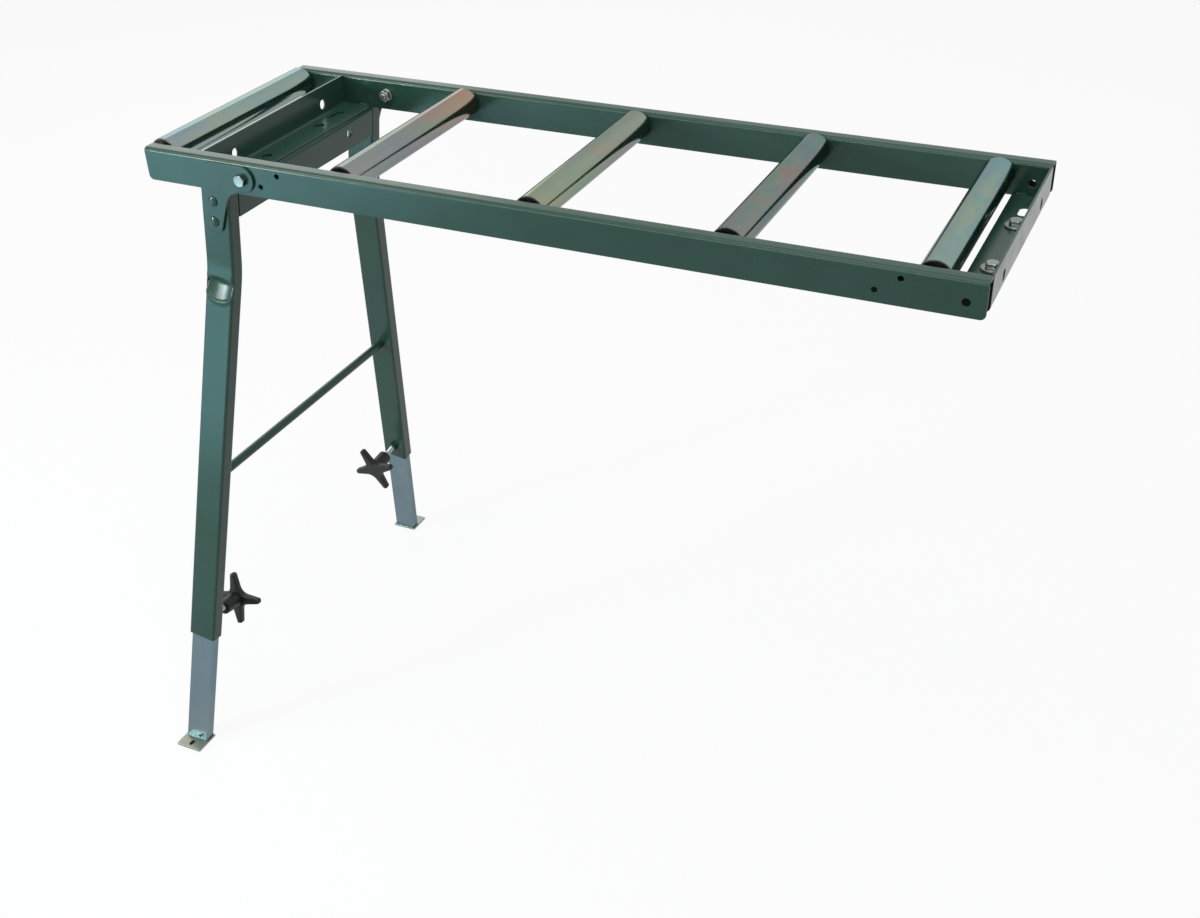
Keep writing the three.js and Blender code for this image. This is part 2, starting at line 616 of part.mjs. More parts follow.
// The rod's ends are cut to the slope of the legs' inner faces.
function spreaderGeometry() {
  const z = LEG_START - SPREADER_DROP;
  const slope = Math.tan(LEG_SPLAY);
  const innerFace = (height) => (
    HALF_WIDTH - LEG_WIDTH / 2 - LEG_WIDTH / 2 / Math.cos(LEG_SPLAY) + (LEG_BEND_Z - height) * slope
  );
  const ringAt = (side) => Array.from({ length: ROUND_STEPS }, (_, step) => {
    const angle = 2 * Math.PI * step / ROUND_STEPS;
    const height = z + SPREADER_R * Math.sin(angle);
    const reach = innerFace(height) - SEAT_GAP;
    return new THREE.Vector3(LEG_AXIS + SPREADER_R * Math.cos(angle), side * reach, height);
  });
  return skinned([ringAt(-1), ringAt(1)]);
}

for (const [name, side] of [['left', -1], ['right', 1]]) {
  addMesh(legFrame, `${name}_leg`, legGeometry(side), paint());
  addMesh(legFrame, `${name}_pivot_plate`, pivotPlateGeometry(side), paint());
  RIVET_Z.forEach((z, index) => {
    const rivet = addMesh(legFrame, `${name}_rivet_${index + 1}`, rivetGeometry(), paint());
    rivet.position.set(LEG_AXIS, side * (HALF_WIDTH - PLATE_FACE + SEAT_GAP), z);
    rivet.rotation.x = side > 0 ? Math.PI : 0;
  });
}
addMesh(legFrame, 'leg_cross_angle', crossAngleGeometry(), paint());
addMesh(legFrame, 'spreader_rod', spreaderGeometry(), paint());

// Feet and clamps, in groups that run down the splayed lower legs along -Z

const FOOT_DEPTH = LEG_DEPTH - 2 * (LEG_WALL + FOOT_CLEARANCE);
const FOOT_WIDTH = LEG_WIDTH - 2 * (LEG_WALL + FOOT_CLEARANCE);

// Height of a turned group's point (x, y) at the world level z.
function levelIn(group, x, y, z) {
  group.updateWorldMatrix(true, false);
  const origin = new THREE.Vector3().setFromMatrixPosition(group.matrixWorld);
  const up = Z_AXIS.clone().applyQuaternion(group.getWorldQuaternion(new THREE.Quaternion()).invert());
  return (z - origin.z - up.x * x - up.y * y) / up.z;
}

function footTubeGeometry(group) {
  const sole = FLOOR_Z + FOOT_PLATE_WALL + SEAT_GAP;
  const top = levelIn(group, 0, 0, sole) + FOOT_TUBE_LENGTH;
  const rings = (outline) => [
    outline.map((point) => new THREE.Vector3(point.x, point.y, top)),
    outline.map((point) => new THREE.Vector3(point.x, point.y, levelIn(group, point.x, point.y, sole))),
  ];
  const outer = roundedOutline(FOOT_DEPTH, FOOT_WIDTH, FOOT_CORNER_R);
  const innerR = FOOT_CORNER_R - FOOT_WALL;
  const inner = roundedOutline(FOOT_DEPTH - 2 * FOOT_WALL, FOOT_WIDTH - 2 * FOOT_WALL, innerR);
  return skinned(rings(outer), rings(inner));
}

function footPlateGeometry(side) {
  const shape = new THREE.Shape([
    new THREE.Vector2(-FOOT_PLATE_LENGTH / 2, -FOOT_PLATE_INNER),
    new THREE.Vector2(FOOT_PLATE_LENGTH / 2, -FOOT_PLATE_INNER),
    new THREE.Vector2(FOOT_PLATE_LENGTH / 2, FOOT_PLATE_OUTER),
    new THREE.Vector2(-FOOT_PLATE_LENGTH / 2, FOOT_PLATE_OUTER),
  ]);
  const through = cutLength(FOOT_PLATE_WALL);
  const slot = pulledAlongZ(slotShape(FOOT_SLOT_WIDTH, FOOT_SLOT_LENGTH), -through / 2, through / 2)
    .translate(0, FOOT_SLOT_REACH, 0);
  const plate = cut(pulledAlongZ(shape, 0, FOOT_PLATE_WALL), [slot]);
  return side > 0 ? plate : plate.rotateZ(Math.PI);
}

// A star outline of arms that taper to rounded tips, with round throats between them.
function knobShape() {
  const armStep = 2 * Math.PI / KNOB_ARM_COUNT;
  const centre = new THREE.Vector2();
  const pointAt = (x, y, turn) => new THREE.Vector2(x, y).rotateAround(centre, turn);
  const towards = (from, to, length) => to.clone().sub(from).setLength(length).add(from);
  const corners = Array.from({ length: KNOB_ARM_COUNT }, (_, index) => [
    [pointAt(KNOB_ARM_R, -KNOB_ARM_TIP, index * armStep), KNOB_TIP_R],
    [pointAt(KNOB_ARM_R, KNOB_ARM_TIP, index * armStep), KNOB_TIP_R],
    [pointAt(KNOB_THROAT, 0, (index + 0.5) * armStep), KNOB_THROAT_R],
  ]).flat();
  const shape = new THREE.Shape();
  corners.forEach(([corner, reach], index) => {
    const [before] = corners.at(index - 1);
    const [after] = corners[(index + 1) % corners.length];
    const start = towards(corner, before, reach);
    const end = towards(corner, after, reach);
    if (index === 0) shape.moveTo(start.x, start.y);
    else shape.lineTo(start.x, start.y);
    shape.quadraticCurveTo(corner.x, corner.y, end.x, end.y);
  });
  return shape;
}

// A star knob along +Y: hub from y = 0, arms at its far end, a blind bore for the stud.
function knobGeometry() {
  const armsLow = KNOB_HUB_LENGTH - KNOB_ARM_WALL / 2;
  const arms = pulledAlongY(knobShape(), armsLow, armsLow + KNOB_ARM_WALL);
  const hub = turned([
    [0, KNOB_HUB_LENGTH],
    [0, KNOB_BORE_DEPTH],
    [HOLE_R, KNOB_BORE_DEPTH],
    [HOLE_R, 0],
    [KNOB_HUB_R - KNOB_HUB_EDGE, 0],
    [KNOB_HUB_R, KNOB_HUB_EDGE],
    [KNOB_HUB_R, KNOB_HUB_LENGTH],
  ]);
  return join(hub, arms);
}

for (const [name, side, turn] of [['left', -1, LEFT_KNOB_TURN], ['right', 1, RIGHT_KNOB_TURN]]) {
  const lower = lowerLegGroup(side);
  legFrame.add(lower);
  addMesh(lower, `${name}_foot_tube`, footTubeGeometry(lower), zinc());

  const sole = new THREE.Vector3(0, 0, levelIn(lower, 0, 0, FLOOR_Z));
  const plate = addMesh(table, `${name}_foot_plate`, footPlateGeometry(side), zinc());
  plate.position.copy(lower.localToWorld(sole));

  const clamp = new THREE.Group();
  clamp.position.set(0, -side * LEG_WIDTH / 2, -CLAMP_DROP);
  clamp.rotation.x = side > 0 ? Math.PI : 0;
  lower.add(clamp);
  addMesh(clamp, `${name}_clamp_nut`, nutGeometry(), paint()).position.y = SEAT_GAP;
  const studStart = SEAT_GAP - LEG_WALL - FOOT_CLEARANCE;
  const studLength = KNOB_STANDOFF + KNOB_BORE_DEPTH - SEAT_GAP - studStart;
  const stud = yCylinder(BOLT_R, studLength).translate(0, studStart + studLength / 2, 0);
  addMesh(clamp, `${name}_stud`, stud, zinc());
  const knob = addMesh(clamp, `${name}_knob`, knobGeometry(), plastic());
  knob.position.y = KNOB_STANDOFF;
  knob.rotation.y = side > 0 ? -turn : turn;
}

export default table;
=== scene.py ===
"""Looks of a roller outfeed table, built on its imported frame. Sizes are in millimetres unless said."""
from math import copysign, cos, exp, inf, pi, radians, sin, sqrt, tan, tau

import bmesh
import bpy
from mathutils import Matrix, Vector


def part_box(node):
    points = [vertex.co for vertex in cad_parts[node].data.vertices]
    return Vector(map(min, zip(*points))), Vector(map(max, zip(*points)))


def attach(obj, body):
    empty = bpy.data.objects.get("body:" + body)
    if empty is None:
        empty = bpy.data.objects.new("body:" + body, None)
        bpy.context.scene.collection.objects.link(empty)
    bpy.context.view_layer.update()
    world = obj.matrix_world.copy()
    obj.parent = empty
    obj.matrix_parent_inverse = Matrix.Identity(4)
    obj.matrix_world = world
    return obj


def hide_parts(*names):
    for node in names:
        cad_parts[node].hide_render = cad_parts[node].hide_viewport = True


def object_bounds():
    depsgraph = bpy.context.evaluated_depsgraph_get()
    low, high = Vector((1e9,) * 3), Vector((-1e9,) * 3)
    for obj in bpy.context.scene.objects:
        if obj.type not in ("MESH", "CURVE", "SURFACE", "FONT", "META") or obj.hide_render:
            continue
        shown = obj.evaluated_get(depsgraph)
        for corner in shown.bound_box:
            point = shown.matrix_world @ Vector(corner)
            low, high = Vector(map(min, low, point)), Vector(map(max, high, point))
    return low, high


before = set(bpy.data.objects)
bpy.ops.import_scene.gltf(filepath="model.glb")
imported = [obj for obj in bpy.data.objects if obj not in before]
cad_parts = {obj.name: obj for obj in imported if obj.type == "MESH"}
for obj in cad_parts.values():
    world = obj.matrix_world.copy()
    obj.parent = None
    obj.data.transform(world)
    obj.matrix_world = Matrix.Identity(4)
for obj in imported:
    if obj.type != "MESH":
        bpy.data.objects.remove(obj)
cad_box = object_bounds()

MM = 0.001
TOLERANCE = 1e-6 # in millimetres or metres

# Photograph's camera, in the part's frame
IMAGE_WIDTH = 1200
FOCAL_PIXELS = 1449.71
SENSOR_MM = 36.0
CAMERA_AT = Vector((0.20715, -1.4178, 0.62551))
CAMERA_AZIMUTH = radians(26.30)
CAMERA_ELEVATION = radians(32.85)
CAMERA_ROLL = radians(-2.15)

# Studio, in metres
FLOOR_REACH = 8.0
FLOOR_GAP = 0.5 # millimetres below the soles
FLOOR_OWN_WHITE = 0.9
FLOOR_SEEN = (0.9, 0.9, 0.9)
FLOOR_BOUNCE = (0.3, 0.3, 0.3)
WORLD_SEEN = (0.94, 0.94, 0.94) # as white as the floor's far end
AMBIENT = (0.38, 0.40, 0.40)
LAMP_TARGET = Vector((-0.5, 0.0, -0.25))
# Name, place, width, watts and colour of each lamp
LAMPS = (
    ("left_front", (-2.7, -2.5, 0.5), 0.45, 36.0, (0.84, 0.97, 1.0)),
    ("left_low", (-2.0, -1.65, -0.5), 0.9, 10.5, (0.36, 0.82, 1.0)),
    ("left_rear", (-3.1, 2.2, 1.1), 2.0, 14.0, (1.0, 1.0, 0.94)),
    ("upper_left", (-2.15, -1.1, 1.75), 0.6, 11.0, (1.0, 0.94, 0.78)),
    ("overhead", (-0.3, -0.6, 2.8), 2.4, 40.0, (1.0, 1.0, 1.0)),
)
# Reflector card, in front of the table
CARD_AT = (-2.2, -3.2, 1.5)
CARD_TARGET = Vector((-2.2, 0.0, 0.0))
CARD_WIDTH = 3.6
CARD_HEIGHT = 0.7
CARD_WATTS = 55.0
CARD_COLOUR = (0.9, 1.0, 0.96)

# Sheet metal
RAIL_WALL = 2.0
RAIL_BEND = 5.0
RAIL_CORNER = 6.0
SKIN = 0.6 * RAIL_WALL # deeper than this, a rail's face is inside it
ACCESSORY_HOLE_R = 3.2
ACCESSORY_PAIR_STEP = 25.0
ACCESSORY_LOW_Z = -6.5
ACCESSORY_HIGH_Z = 9.6
OUTER_PAIR_INSET = 165.0
MACHINE_PAIR_INSET = 109.0
SIDE_HOLE_R = 4.5
SIDE_HOLE_INSET = 20.0
SIDE_HOLE_Z = -4.0
ANGLE_LEG = 40.0
ANGLE_WALL = 2.5
ANGLE_BEND = 6.0
ANGLE_CORNER = 1.0
SLOT_WIDTH = 11.0
SLOT_LENGTH = 13.0
SLOT_SPAN = 187.0
SLOT_Z = -4.0
FLANGE_HOLE_SPAN = 113.0
FLANGE_HOLE_INSET = 20.0
FLANGE_HOLE_R = 6.5
SPARE_SPAN = 198.0
SPARE_INSET = 18.0
SPARE_WIDTH = 11.0
SPARE_LENGTH = 26.0
CROSS_HEIGHT = 40.0
CROSS_DEPTH = 36.0
CROSS_WALL = 3.0
CROSS_BEND = 5.0
CROSS_SLOT_SPAN = 184.0
CROSS_SLOT_DROP = 16.7
EDGE = 0.35

# Rollers
ROLLER_COUNT = 5
ROLLER_WALL = 1.5
ROLLER_EDGE = 0.6
ROLLER_BORE_EDGE = 0.25
AXLE_R = 4.0
AXLE_EDGE = 0.6
CAP_BORE_R = 4.1
CAP_DEPTH = 12.0
CAP_RECESS = 1.0
CAP_RIM = 1.9 # width of the raised rim
CAP_DISH = 1.6 # depth of the dish inside the rim
CAP_DISH_SLOPE = 0.6
CAP_COLLAR_R = 8.4
CAP_COLLAR_SLOPE = 0.8
CAP_COLLAR_RISE = 0.4
CAP_BOSS_R = 7.0
CAP_ROUNDINGS = (0, 0.4, 0.5, 0.4, 0.5, 0.5, 0.4, 0.3, 0.5, 0.2)

# Leg frame
LEAN = radians(7.62)
SPLAY = radians(10.39)
LEG_DEPTH = 40.0
LEG_WIDTH = 20.0
LEG_WALL = 2.0
LEG_CORNER = 3.0
LEG_RIM = 0.4 # rounding of the open end
LEG_UPPER = 112.0
LEG_LOWER = 538.0
LEG_BEND = 200.0
LEG_FACE = 23.0
CLAMP_FROM_END = 24.0
DENT_DEPTH = 5.5
DENT_LIP = 1.0
DENT_RIDGE = 1.2
DENT_EDGE_SHARE = 0.5 # of the dent's reach and depth, left at the leg's corners
DENT_DROP = 15.0 # its lowest line, below the bend
DENT_RISE = 9.0
DENT_FALL = 22.0
DENT_ROUNDNESS = 2.5
DENT_SOFTNESS = 0.004
DENT_LIP_OFFSET = 2.0
DENT_LIP_WIDTHS = (5.0, 2.6)
DENT_RIDGE_OFFSET = 1.5
DENT_RIDGE_WIDTHS = (1.8, 4.5)
DENT_ABOVE = 8.0 # fine stations above the bend's start
DENT_BELOW = 14.0 # and below the dent
PLATE_WALL = 3.0
PLATE_EDGE = 0.5
PLATE_BACK_INSET = 4.0
PLATE_TIP_WIDTH = 26.0
PLATE_DROP = 79.0
PLATE_NOSE_R = 16.0
PLATE_NOSE_START = radians(-97)
PLATE_SHOULDER_R = 20.0
PLATE_TIP_R = 8.0
PLATE_NECK_R = 26.0
PLATE_NECK_INSET = 1.0 # in front of the leg's face
PLATE_NECK_DROP = 30.0
PLATE_THROAT = (-9.0, -17.5) # where the neck runs into the nose
RIVET_DROPS = (39.6, 65.9)
# Radius and height of its corners: crown, rim, seat and shank
RIVET_PROFILE = ((0, 2.6), (2.4, 2.6), (5.9, 1.3), (6.5, 0), (3, 0), (3, -6.2), (0, -6.2))
RIVET_ROUNDINGS = (0, 2.0, 0.6, 0.15, 0, 0.3, 0)
SPREADER_DROP = 402.0
SPREADER_R = 6.0
SPREADER_GAP = 0.1
SPREADER_STEPS = 48
SPREADER_ROWS = 10 # on each side of the middle

# Feet and clamps
FOOT_CLEARANCE = 0.5
FOOT_WALL = 1.5
FOOT_CORNER = 2.2
FOOT_INNER_CORNER = 0.7
FOOT_TUBE_LENGTH = 400.0
FOOT_WELD_GAP = 0.15
FOOT_PLATE_WALL = 3.0
FOOT_PLATE_CORNER = 1.5
FOOT_PLATE_EDGE = 0.4
FOOT_SLOT_INSET = 9.5
FOOT_SLOT_WIDTH = 5.5
FOOT_SLOT_LENGTH = 10.0
# A thin black sheet in each foot slot: painted shade where the floor would show through
SHADE_PLUG_WALL = 0.8
SHADE_PLUG_EDGE = 0.1
KNOB_REACH = 39.0
KNOB_TIP = 3.5 # half an arm's width at its tip
KNOB_TIP_R = 2.7
KNOB_THROAT = 12.0
KNOB_THROAT_R = 13.0
KNOB_EDGE = 2.6
KNOB_WALL = 10.0
KNOB_STANDOFF = 27.0
HUB_LENGTH = 32.0
HUB_R = 10.9
HUB_FLARE = 0.5 # taper of the hub's radius, either way of HUB_R
HUB_OVERLAP = 3.0 # into the arms
HUB_BORE_R = 4.2
HUB_BORE_DEPTH = 18.0
HUB_ROUNDINGS = (0, 0, 0.3, 1.0, 0, 0)
STUD_DEPTH = 2.2 # into the leg's wall
STUD_POINT = 0.6
STUD_POINT_R = 3.0
STUD_END_GAP = 0.5
STUD_STEPS = 48
KNOB_TURNS = {"left": radians(-14), "right": radians(30)}

# Hardware
SEAT_GAP = 0.3
BOLT_R = 4.0
THREAD_PITCH = 1.25
THREAD_DEPTH = 0.55
HEX_FLATS = 13.0
HEAD_HEIGHT = 5.3
NUT_HEIGHT = 6.5
WASHER_R = 8.0
WASHER_WALL = 1.6
WIDE_WASHER_R = 12.0
WIDE_WASHER_WALL = 2.0
MACHINE_BOLT_INSET = 18.0
MACHINE_BOLT_LENGTH = 30.0
BOLT_END = 3.0 # past the nut
BOLT_POINT = 0.6
BOLT_POINT_INSET = 0.8
PIVOT_THREAD = 14.0
MACHINE_THREAD = 22.0
THREAD_PLAY = 0.05
THREAD_RUNOUT = 0.8
THREAD_FLANK = 2.6 # steepness of the groove
HEX_STEPS = 96
HEX_CHAMFER = radians(30)
HEX_CHAMFER_FACE = 0.985 # of the flats, left on a chamfered end
HEX_CHAMFER_REACH = 1.15
HEX_CHAMFER_STEPS = 6
HEAD_DISH = 0.35
HEAD_DISH_R = 0.30 * HEX_FLATS
HEAD_FACE_R = 0.36 * HEX_FLATS
NUT_PLAY = 0.12
NUT_COUNTERSINK = 0.7
NUT_COUNTERSINK_DEPTH = 0.8
WASHER_EDGE = 0.3
# How far the hex pieces happen to be turned, in radians
PIVOT_HEAD_TURN = 0.3
PIVOT_NUT_TURN = 0.2
MACHINE_HEAD_TURN = 0.5
CLAMP_NUT_TURN = 0.35

# Welds
RAIL_WELD_R = 1.8
RAIL_WELD_LENGTH = 12.0
RAIL_WELD_SINK = 0.4
RAIL_WELD_INSET = 4.0
CROSS_WELD_R = 1.6
CROSS_WELD_TOP = 8.0
CROSS_WELD_LENGTH = 26.0
CROSS_WELD_BACK = 3.3 # behind the leg's face
WELD_STEP = 0.5
WELD_AROUND = 16
WELD_RIPPLE_PITCH = 2.2
WELD_RIPPLE = 0.18 # of the bead's radius
WELD_WANDER = 0.18
WELD_WANDER_RATE = 0.9
WELD_END_SHARPNESS = 9
WELD_LEAST_R = 0.05

# Zinc plating
CLOUD_LOW = 0.38 # noise level of the first cloud tint
CLOUD_SPAN = 0.24
CLOUD_STRETCH = (1.0, 0.45, 1.0) # rollers' clouds run along their tubes
BAND_STRETCH = (1.0, 0.08, 1.0)
ROLLER_STREAKS = (1.0, 0.03, 1.0)
TUBE_STREAKS = (1.0, 1.0, 0.04)
STREAK_SHADE = 0.6
SMUDGE_SPREAD = 0.09
# A roller's end tint grows between these distances from its middle, in metres
END_FROM = 0.02
END_TO = 0.15
END_TINT = 0.9
EDGE_TINT = (0.55, 0.58, 0.58)

# A Mix node's colour sockets
COLOUR_A = 6
COLOUR_B = 7
COLOUR_OUT = 2


# Places read from the frame

def corners_mm(node):
    low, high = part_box(node)
    return Vector(low) / MM, Vector(high) / MM


def middle_mm(node):
    low, high = corners_mm(node)
    return (low + high) / 2


RAIL_LOW, RAIL_HIGH = corners_mm("right_rail")
TABLE_LENGTH = RAIL_HIGH.x - RAIL_LOW.x
HALF_WIDTH = RAIL_HIGH.y
RAIL_WIDTH = RAIL_HIGH.y - RAIL_LOW.y
RAIL_TOP = RAIL_HIGH.z
RAIL_BOTTOM = RAIL_LOW.z
RAIL_HEIGHT = RAIL_TOP - RAIL_BOTTOM
INNER_WEB = HALF_WIDTH - RAIL_WIDTH
PIVOT_X = middle_mm("left_pivot_washer").x
LEG_AXIS = -LEG_FACE - LEG_DEPTH / 2
LEG_Y = HALF_WIDTH - LEG_WIDTH / 2
LEG_START = (RAIL_BOTTOM + LEG_AXIS * sin(LEAN)) / cos(LEAN)
LEG_BEND_Z = LEG_START - LEG_UPPER
CLAMP_DROP = LEG_LOWER - CLAMP_FROM_END
SIDES = (("left", -1), ("right", 1))


def shift(x=0.0, y=0.0, z=0.0):
    return Matrix.Translation((x, y, z))


def turn(angle, axis):
    return Matrix.Rotation(angle, 4, axis)


LEG_PLACE = shift(PIVOT_X) @ turn(LEAN, "Y")
Y_FROM_Z = turn(-pi / 2, "X")


def lower_leg_place(side):
    return LEG_PLACE @ shift(LEG_AXIS, side * LEG_Y, LEG_BEND_Z) @ turn(side * SPLAY, "X")


# The clamp's frame has +Z out of the leg's inner face, along the screw.
def clamp_place(side):
    facing = turn(side * pi / 2, "X")
    return lower_leg_place(side) @ shift(0, -side * LEG_WIDTH / 2, -CLAMP_DROP) @ facing


# Node trees

class Nodes:
    """A material's node tree with short calls for its nodes and links."""

    def __init__(self, name):
        self.material = bpy.data.materials.new(name)
        self.material.use_nodes = True
        self.tree = self.material.node_tree
        self.shader = self.tree.nodes["Principled BSDF"]
        self.coords = self.add("ShaderNodeTexCoord").outputs["Object"]

    def add(self, kind, inputs=None, **values):
        node = self.tree.nodes.new(kind)
        for key, value in values.items():
            setattr(node, key, value)
        for key, value in (inputs or {}).items():
            node.inputs[key].default_value = value
        return node

    def link(self, source, target):
        self.tree.links.new(source, target)

    def noise(self, scale, detail=3.0, roughness=0.5, stretch=None):
        inputs = {"Scale": scale, "Detail": detail, "Roughness": roughness}
        node = self.add("ShaderNodeTexNoise", inputs)
        source = self.coords
        if stretch:
            mapping = self.add("ShaderNodeMapping", {"Scale": stretch})
            self.link(source, mapping.inputs["Vector"])
            source = mapping.outputs["Vector"]
        self.link(source, node.inputs["Vector"])
        return node.outputs["Fac"]

    def ramp(self, source, stops, interpolation="LINEAR"):
        node = self.add("ShaderNodeValToRGB")
        node.color_ramp.interpolation = interpolation
        elements = node.color_ramp.elements
        while len(elements) < len(stops):
            elements.new(0.5)
        for element, (place, colour) in zip(elements, stops):
            element.position = place
            element.color = (*colour, 1.0)
        self.link(source, node.inputs["Fac"])
        return node.outputs["Color"]

    def span(self, source, low, high, new_low, new_high):
        inputs = {"From Min": low, "From Max": high, "To Min": new_low, "To Max": new_high}
        node = self.add("ShaderNodeMapRange", inputs)
        self.link(source, node.inputs["Value"])
        return node.outputs["Result"]

    def mix(self, factor, first, second):
        node = self.add("ShaderNodeMix", data_type="RGBA")
        self.link(factor, node.inputs["Factor"])
        for socket, value in ((node.inputs[COLOUR_A], first), (node.inputs[COLOUR_B], second)):
            if isinstance(value, tuple):
                socket.default_value = (*value, 1.0)
            else:
                self.link(value, socket)
        return node.outputs[COLOUR_OUT]

    def bump(self, source, strength, distance, normal=None):
        node = self.add("ShaderNodeBump", {"Strength": strength, "Distance": distance})
        self.link(source, node.inputs["Height"])
        if normal:
            self.link(normal, node.inputs["Normal"])
        return node.outputs["Normal"]

    def set(self, **values):
        for key, value in values.items():
            socket = self.shader.inputs[key.replace("_", " ")]
            if isinstance(value, bpy.types.NodeSocket):
                self.link(value, socket)
            elif isinstance(value, tuple):
                socket.default_value = (*value, 1.0)
            else:
                socket.default_value = value
        return self.material


def powder_coat():
    n = Nodes("green_powder_coat")
    cloud = n.noise(9.0, detail=4.0)
    tint = n.ramp(cloud, ((0.3, (0.020, 0.064, 0.046)), (0.7, (0.027, 0.077, 0.057))))
    speck = n.noise(900.0, detail=2.0)
    colour = n.mix(n.span(speck, 0.35, 0.75, 0.0, 0.25), tint, (0.040, 0.096, 0.073))
    peel = n.noise(420.0, detail=2.0, roughness=0.4)
    ripple = n.noise(55.0, detail=2.0, roughness=0.4)
    waves = n.bump(ripple, strength=0.04, distance=0.002)
    normal = n.bump(peel, strength=0.05, distance=0.0003, normal=waves)
    rough = n.span(n.noise(30.0), 0.3, 0.7, 0.18, 0.26)
    return n.set(Base_Color=colour, Roughness=rough, Normal=normal, Specular_IOR_Level=0.27)


def zinc_plate(name, tints, shine, clouds, stretch=None, specks=0.0, ends=None):
    """Passivated zinc: soft clouds of interference tints, drawing streaks, dark specks and a grain.
    A roller has other tints at its -Y and +Y ends, and a third in bands along it."""
    n = Nodes(name)
    cloud = n.noise(clouds, detail=2.5, roughness=0.55, stretch=CLOUD_STRETCH if ends else None)
    places = [CLOUD_LOW + CLOUD_SPAN * i / (len(tints) - 1) for i in range(len(tints))]
    hue = n.ramp(cloud, tuple(zip(places, tints)), "B_SPLINE")
    if ends:
        split = n.add("ShaderNodeSeparateXYZ")
        n.link(n.coords, split.inputs["Vector"])
        for tint, way in zip(ends, (-1, 1)):
            reach = n.span(split.outputs["Y"], way * END_FROM, way * END_TO, 0.0, END_TINT)
            patch = n.add("ShaderNodeMath", operation="MULTIPLY")
            n.link(reach, patch.inputs[0])
            n.link(n.span(cloud, 0.35, 0.6, 0.5, 1.0), patch.inputs[1])
            hue = n.mix(patch.outputs[0], hue, tint)
        band = n.noise(45.0, detail=2.0, roughness=0.5, stretch=BAND_STRETCH)
        hue = n.mix(n.span(band, 0.5, 0.66, 0.0, 0.5), hue, ends[2])
    streak = n.noise(70.0, detail=4.0, roughness=0.6, stretch=stretch)
    shade = tuple(STREAK_SHADE * c for c in tints[1])
    colour = n.mix(n.span(streak, 0.3, 0.7, 0.0, 0.22), hue, shade)
    if specks:
        colour = n.mix(n.span(n.noise(330.0, detail=2.0), 0.62, 0.74, 0.0, specks), colour, shade)
    smudge = n.noise(26.0, detail=4.0, roughness=0.6)
    rough = n.span(smudge, 0.3, 0.7, shine, shine + SMUDGE_SPREAD)
    normal = n.bump(streak, strength=0.015, distance=0.0004)
    n.set(Metallic=1.0, Specular_Tint=EDGE_TINT)
    return n.set(Base_Color=colour, Roughness=rough, Normal=normal)


def dull_coat(name, tints, clouds, grain, rough, **values):
    """Two tints in clouds, a fine grain, and patches of roughness."""
    n = Nodes(name)
    scale, strength, distance = grain
    patches, low, high = rough
    n.set(
        Base_Color=n.ramp(n.noise(**clouds), tuple(zip((0.3, 0.7), tints))),
        Roughness=n.span(n.noise(patches), 0.3, 0.7, low, high),
        Normal=n.bump(n.noise(scale, detail=2.0), strength, distance),
    )
    return n.set(**values)


GREEN = powder_coat()
# Painted shade inside a rail: a dull, nearly black coat that darkens the channel between the webs
RAIL_INSIDE_SHADE = dull_coat(
    "rail_inside_painted_shade",
    ((0.006, 0.009, 0.008), (0.012, 0.019, 0.016)),
    clouds={"scale": 60.0, "detail": 4.0, "roughness": 0.6},
    grain=(500.0, 0.1, 0.0003),
    rough=(150.0, 0.6, 0.8),
    Specular_IOR_Level=0.15,
)
# The bare cut ends of the roller tubes, brownish
TUBE_END = dull_coat(
    "cut_tube_end",
    ((0.10, 0.085, 0.075), (0.16, 0.14, 0.125)),
    clouds={"scale": 120.0},
    grain=(800.0, 0.1, 0.0002),
    rough=(300.0, 0.45, 0.6),
    Metallic=1.0,
)
BLACK = dull_coat(
    "black_moulded_plastic",
    ((0.010, 0.010, 0.010), (0.016, 0.016, 0.016)),
    clouds={"scale": 40.0},
    grain=(1500.0, 0.2, 0.0003),
    rough=(90.0, 0.38, 0.52),
    Specular_IOR_Level=0.3,
)
# Each roller's cloud tints, then the tints of its -Y and +Y ends and of its bands
ROLLER_TINTS = (
    (((0.24, 0.35, 0.38), (0.27, 0.37, 0.36), (0.35, 0.37, 0.26), (0.25, 0.36, 0.37)),
     ((0.31, 0.32, 0.31), (0.28, 0.38, 0.33), (0.20, 0.34, 0.38))),
    (((0.24, 0.27, 0.28), (0.27, 0.28, 0.26), (0.23, 0.32, 0.24), (0.32, 0.27, 0.26)),
     ((0.28, 0.29, 0.31), (0.52, 0.29, 0.18), (0.35, 0.25, 0.31))),
    (((0.23, 0.33, 0.30), (0.30, 0.36, 0.25), (0.27, 0.33, 0.30), (0.34, 0.31, 0.25)),
     ((0.35, 0.35, 0.24), (0.24, 0.32, 0.31), (0.34, 0.35, 0.24))),
    (((0.16, 0.25, 0.25), (0.19, 0.28, 0.25), (0.25, 0.29, 0.21), (0.32, 0.21, 0.21)),
     ((0.22, 0.25, 0.25), (0.16, 0.29, 0.30), (0.31, 0.22, 0.24))),
    (((0.23, 0.36, 0.36), (0.27, 0.40, 0.36), (0.39, 0.41, 0.28), (0.26, 0.38, 0.37)),
     ((0.28, 0.40, 0.36), (0.21, 0.36, 0.40), (0.24, 0.37, 0.37))),
)
ROLLER_LOOK = {"stretch": ROLLER_STREAKS, "shine": 0.10, "clouds": 30.0, "specks": 0.4}
ROLLER_ZINC = [
    zinc_plate(f"roller_zinc_{i}", tints, ends=ends, **ROLLER_LOOK)
    for i, (tints, ends) in enumerate(ROLLER_TINTS, 1)
]
PLATE_ZINC = zinc_plate(
    "plate_zinc",
    ((0.22, 0.26, 0.25), (0.26, 0.29, 0.26), (0.29, 0.31, 0.26)),
    shine=0.34,
    clouds=20.0,
)
TUBE_ZINC = zinc_plate(
    "tube_zinc",
    ((0.16, 0.23, 0.27), (0.18, 0.24, 0.27), (0.21, 0.26, 0.27)),
    shine=0.18,
    clouds=9.0,
    stretch=TUBE_STREAKS,
)
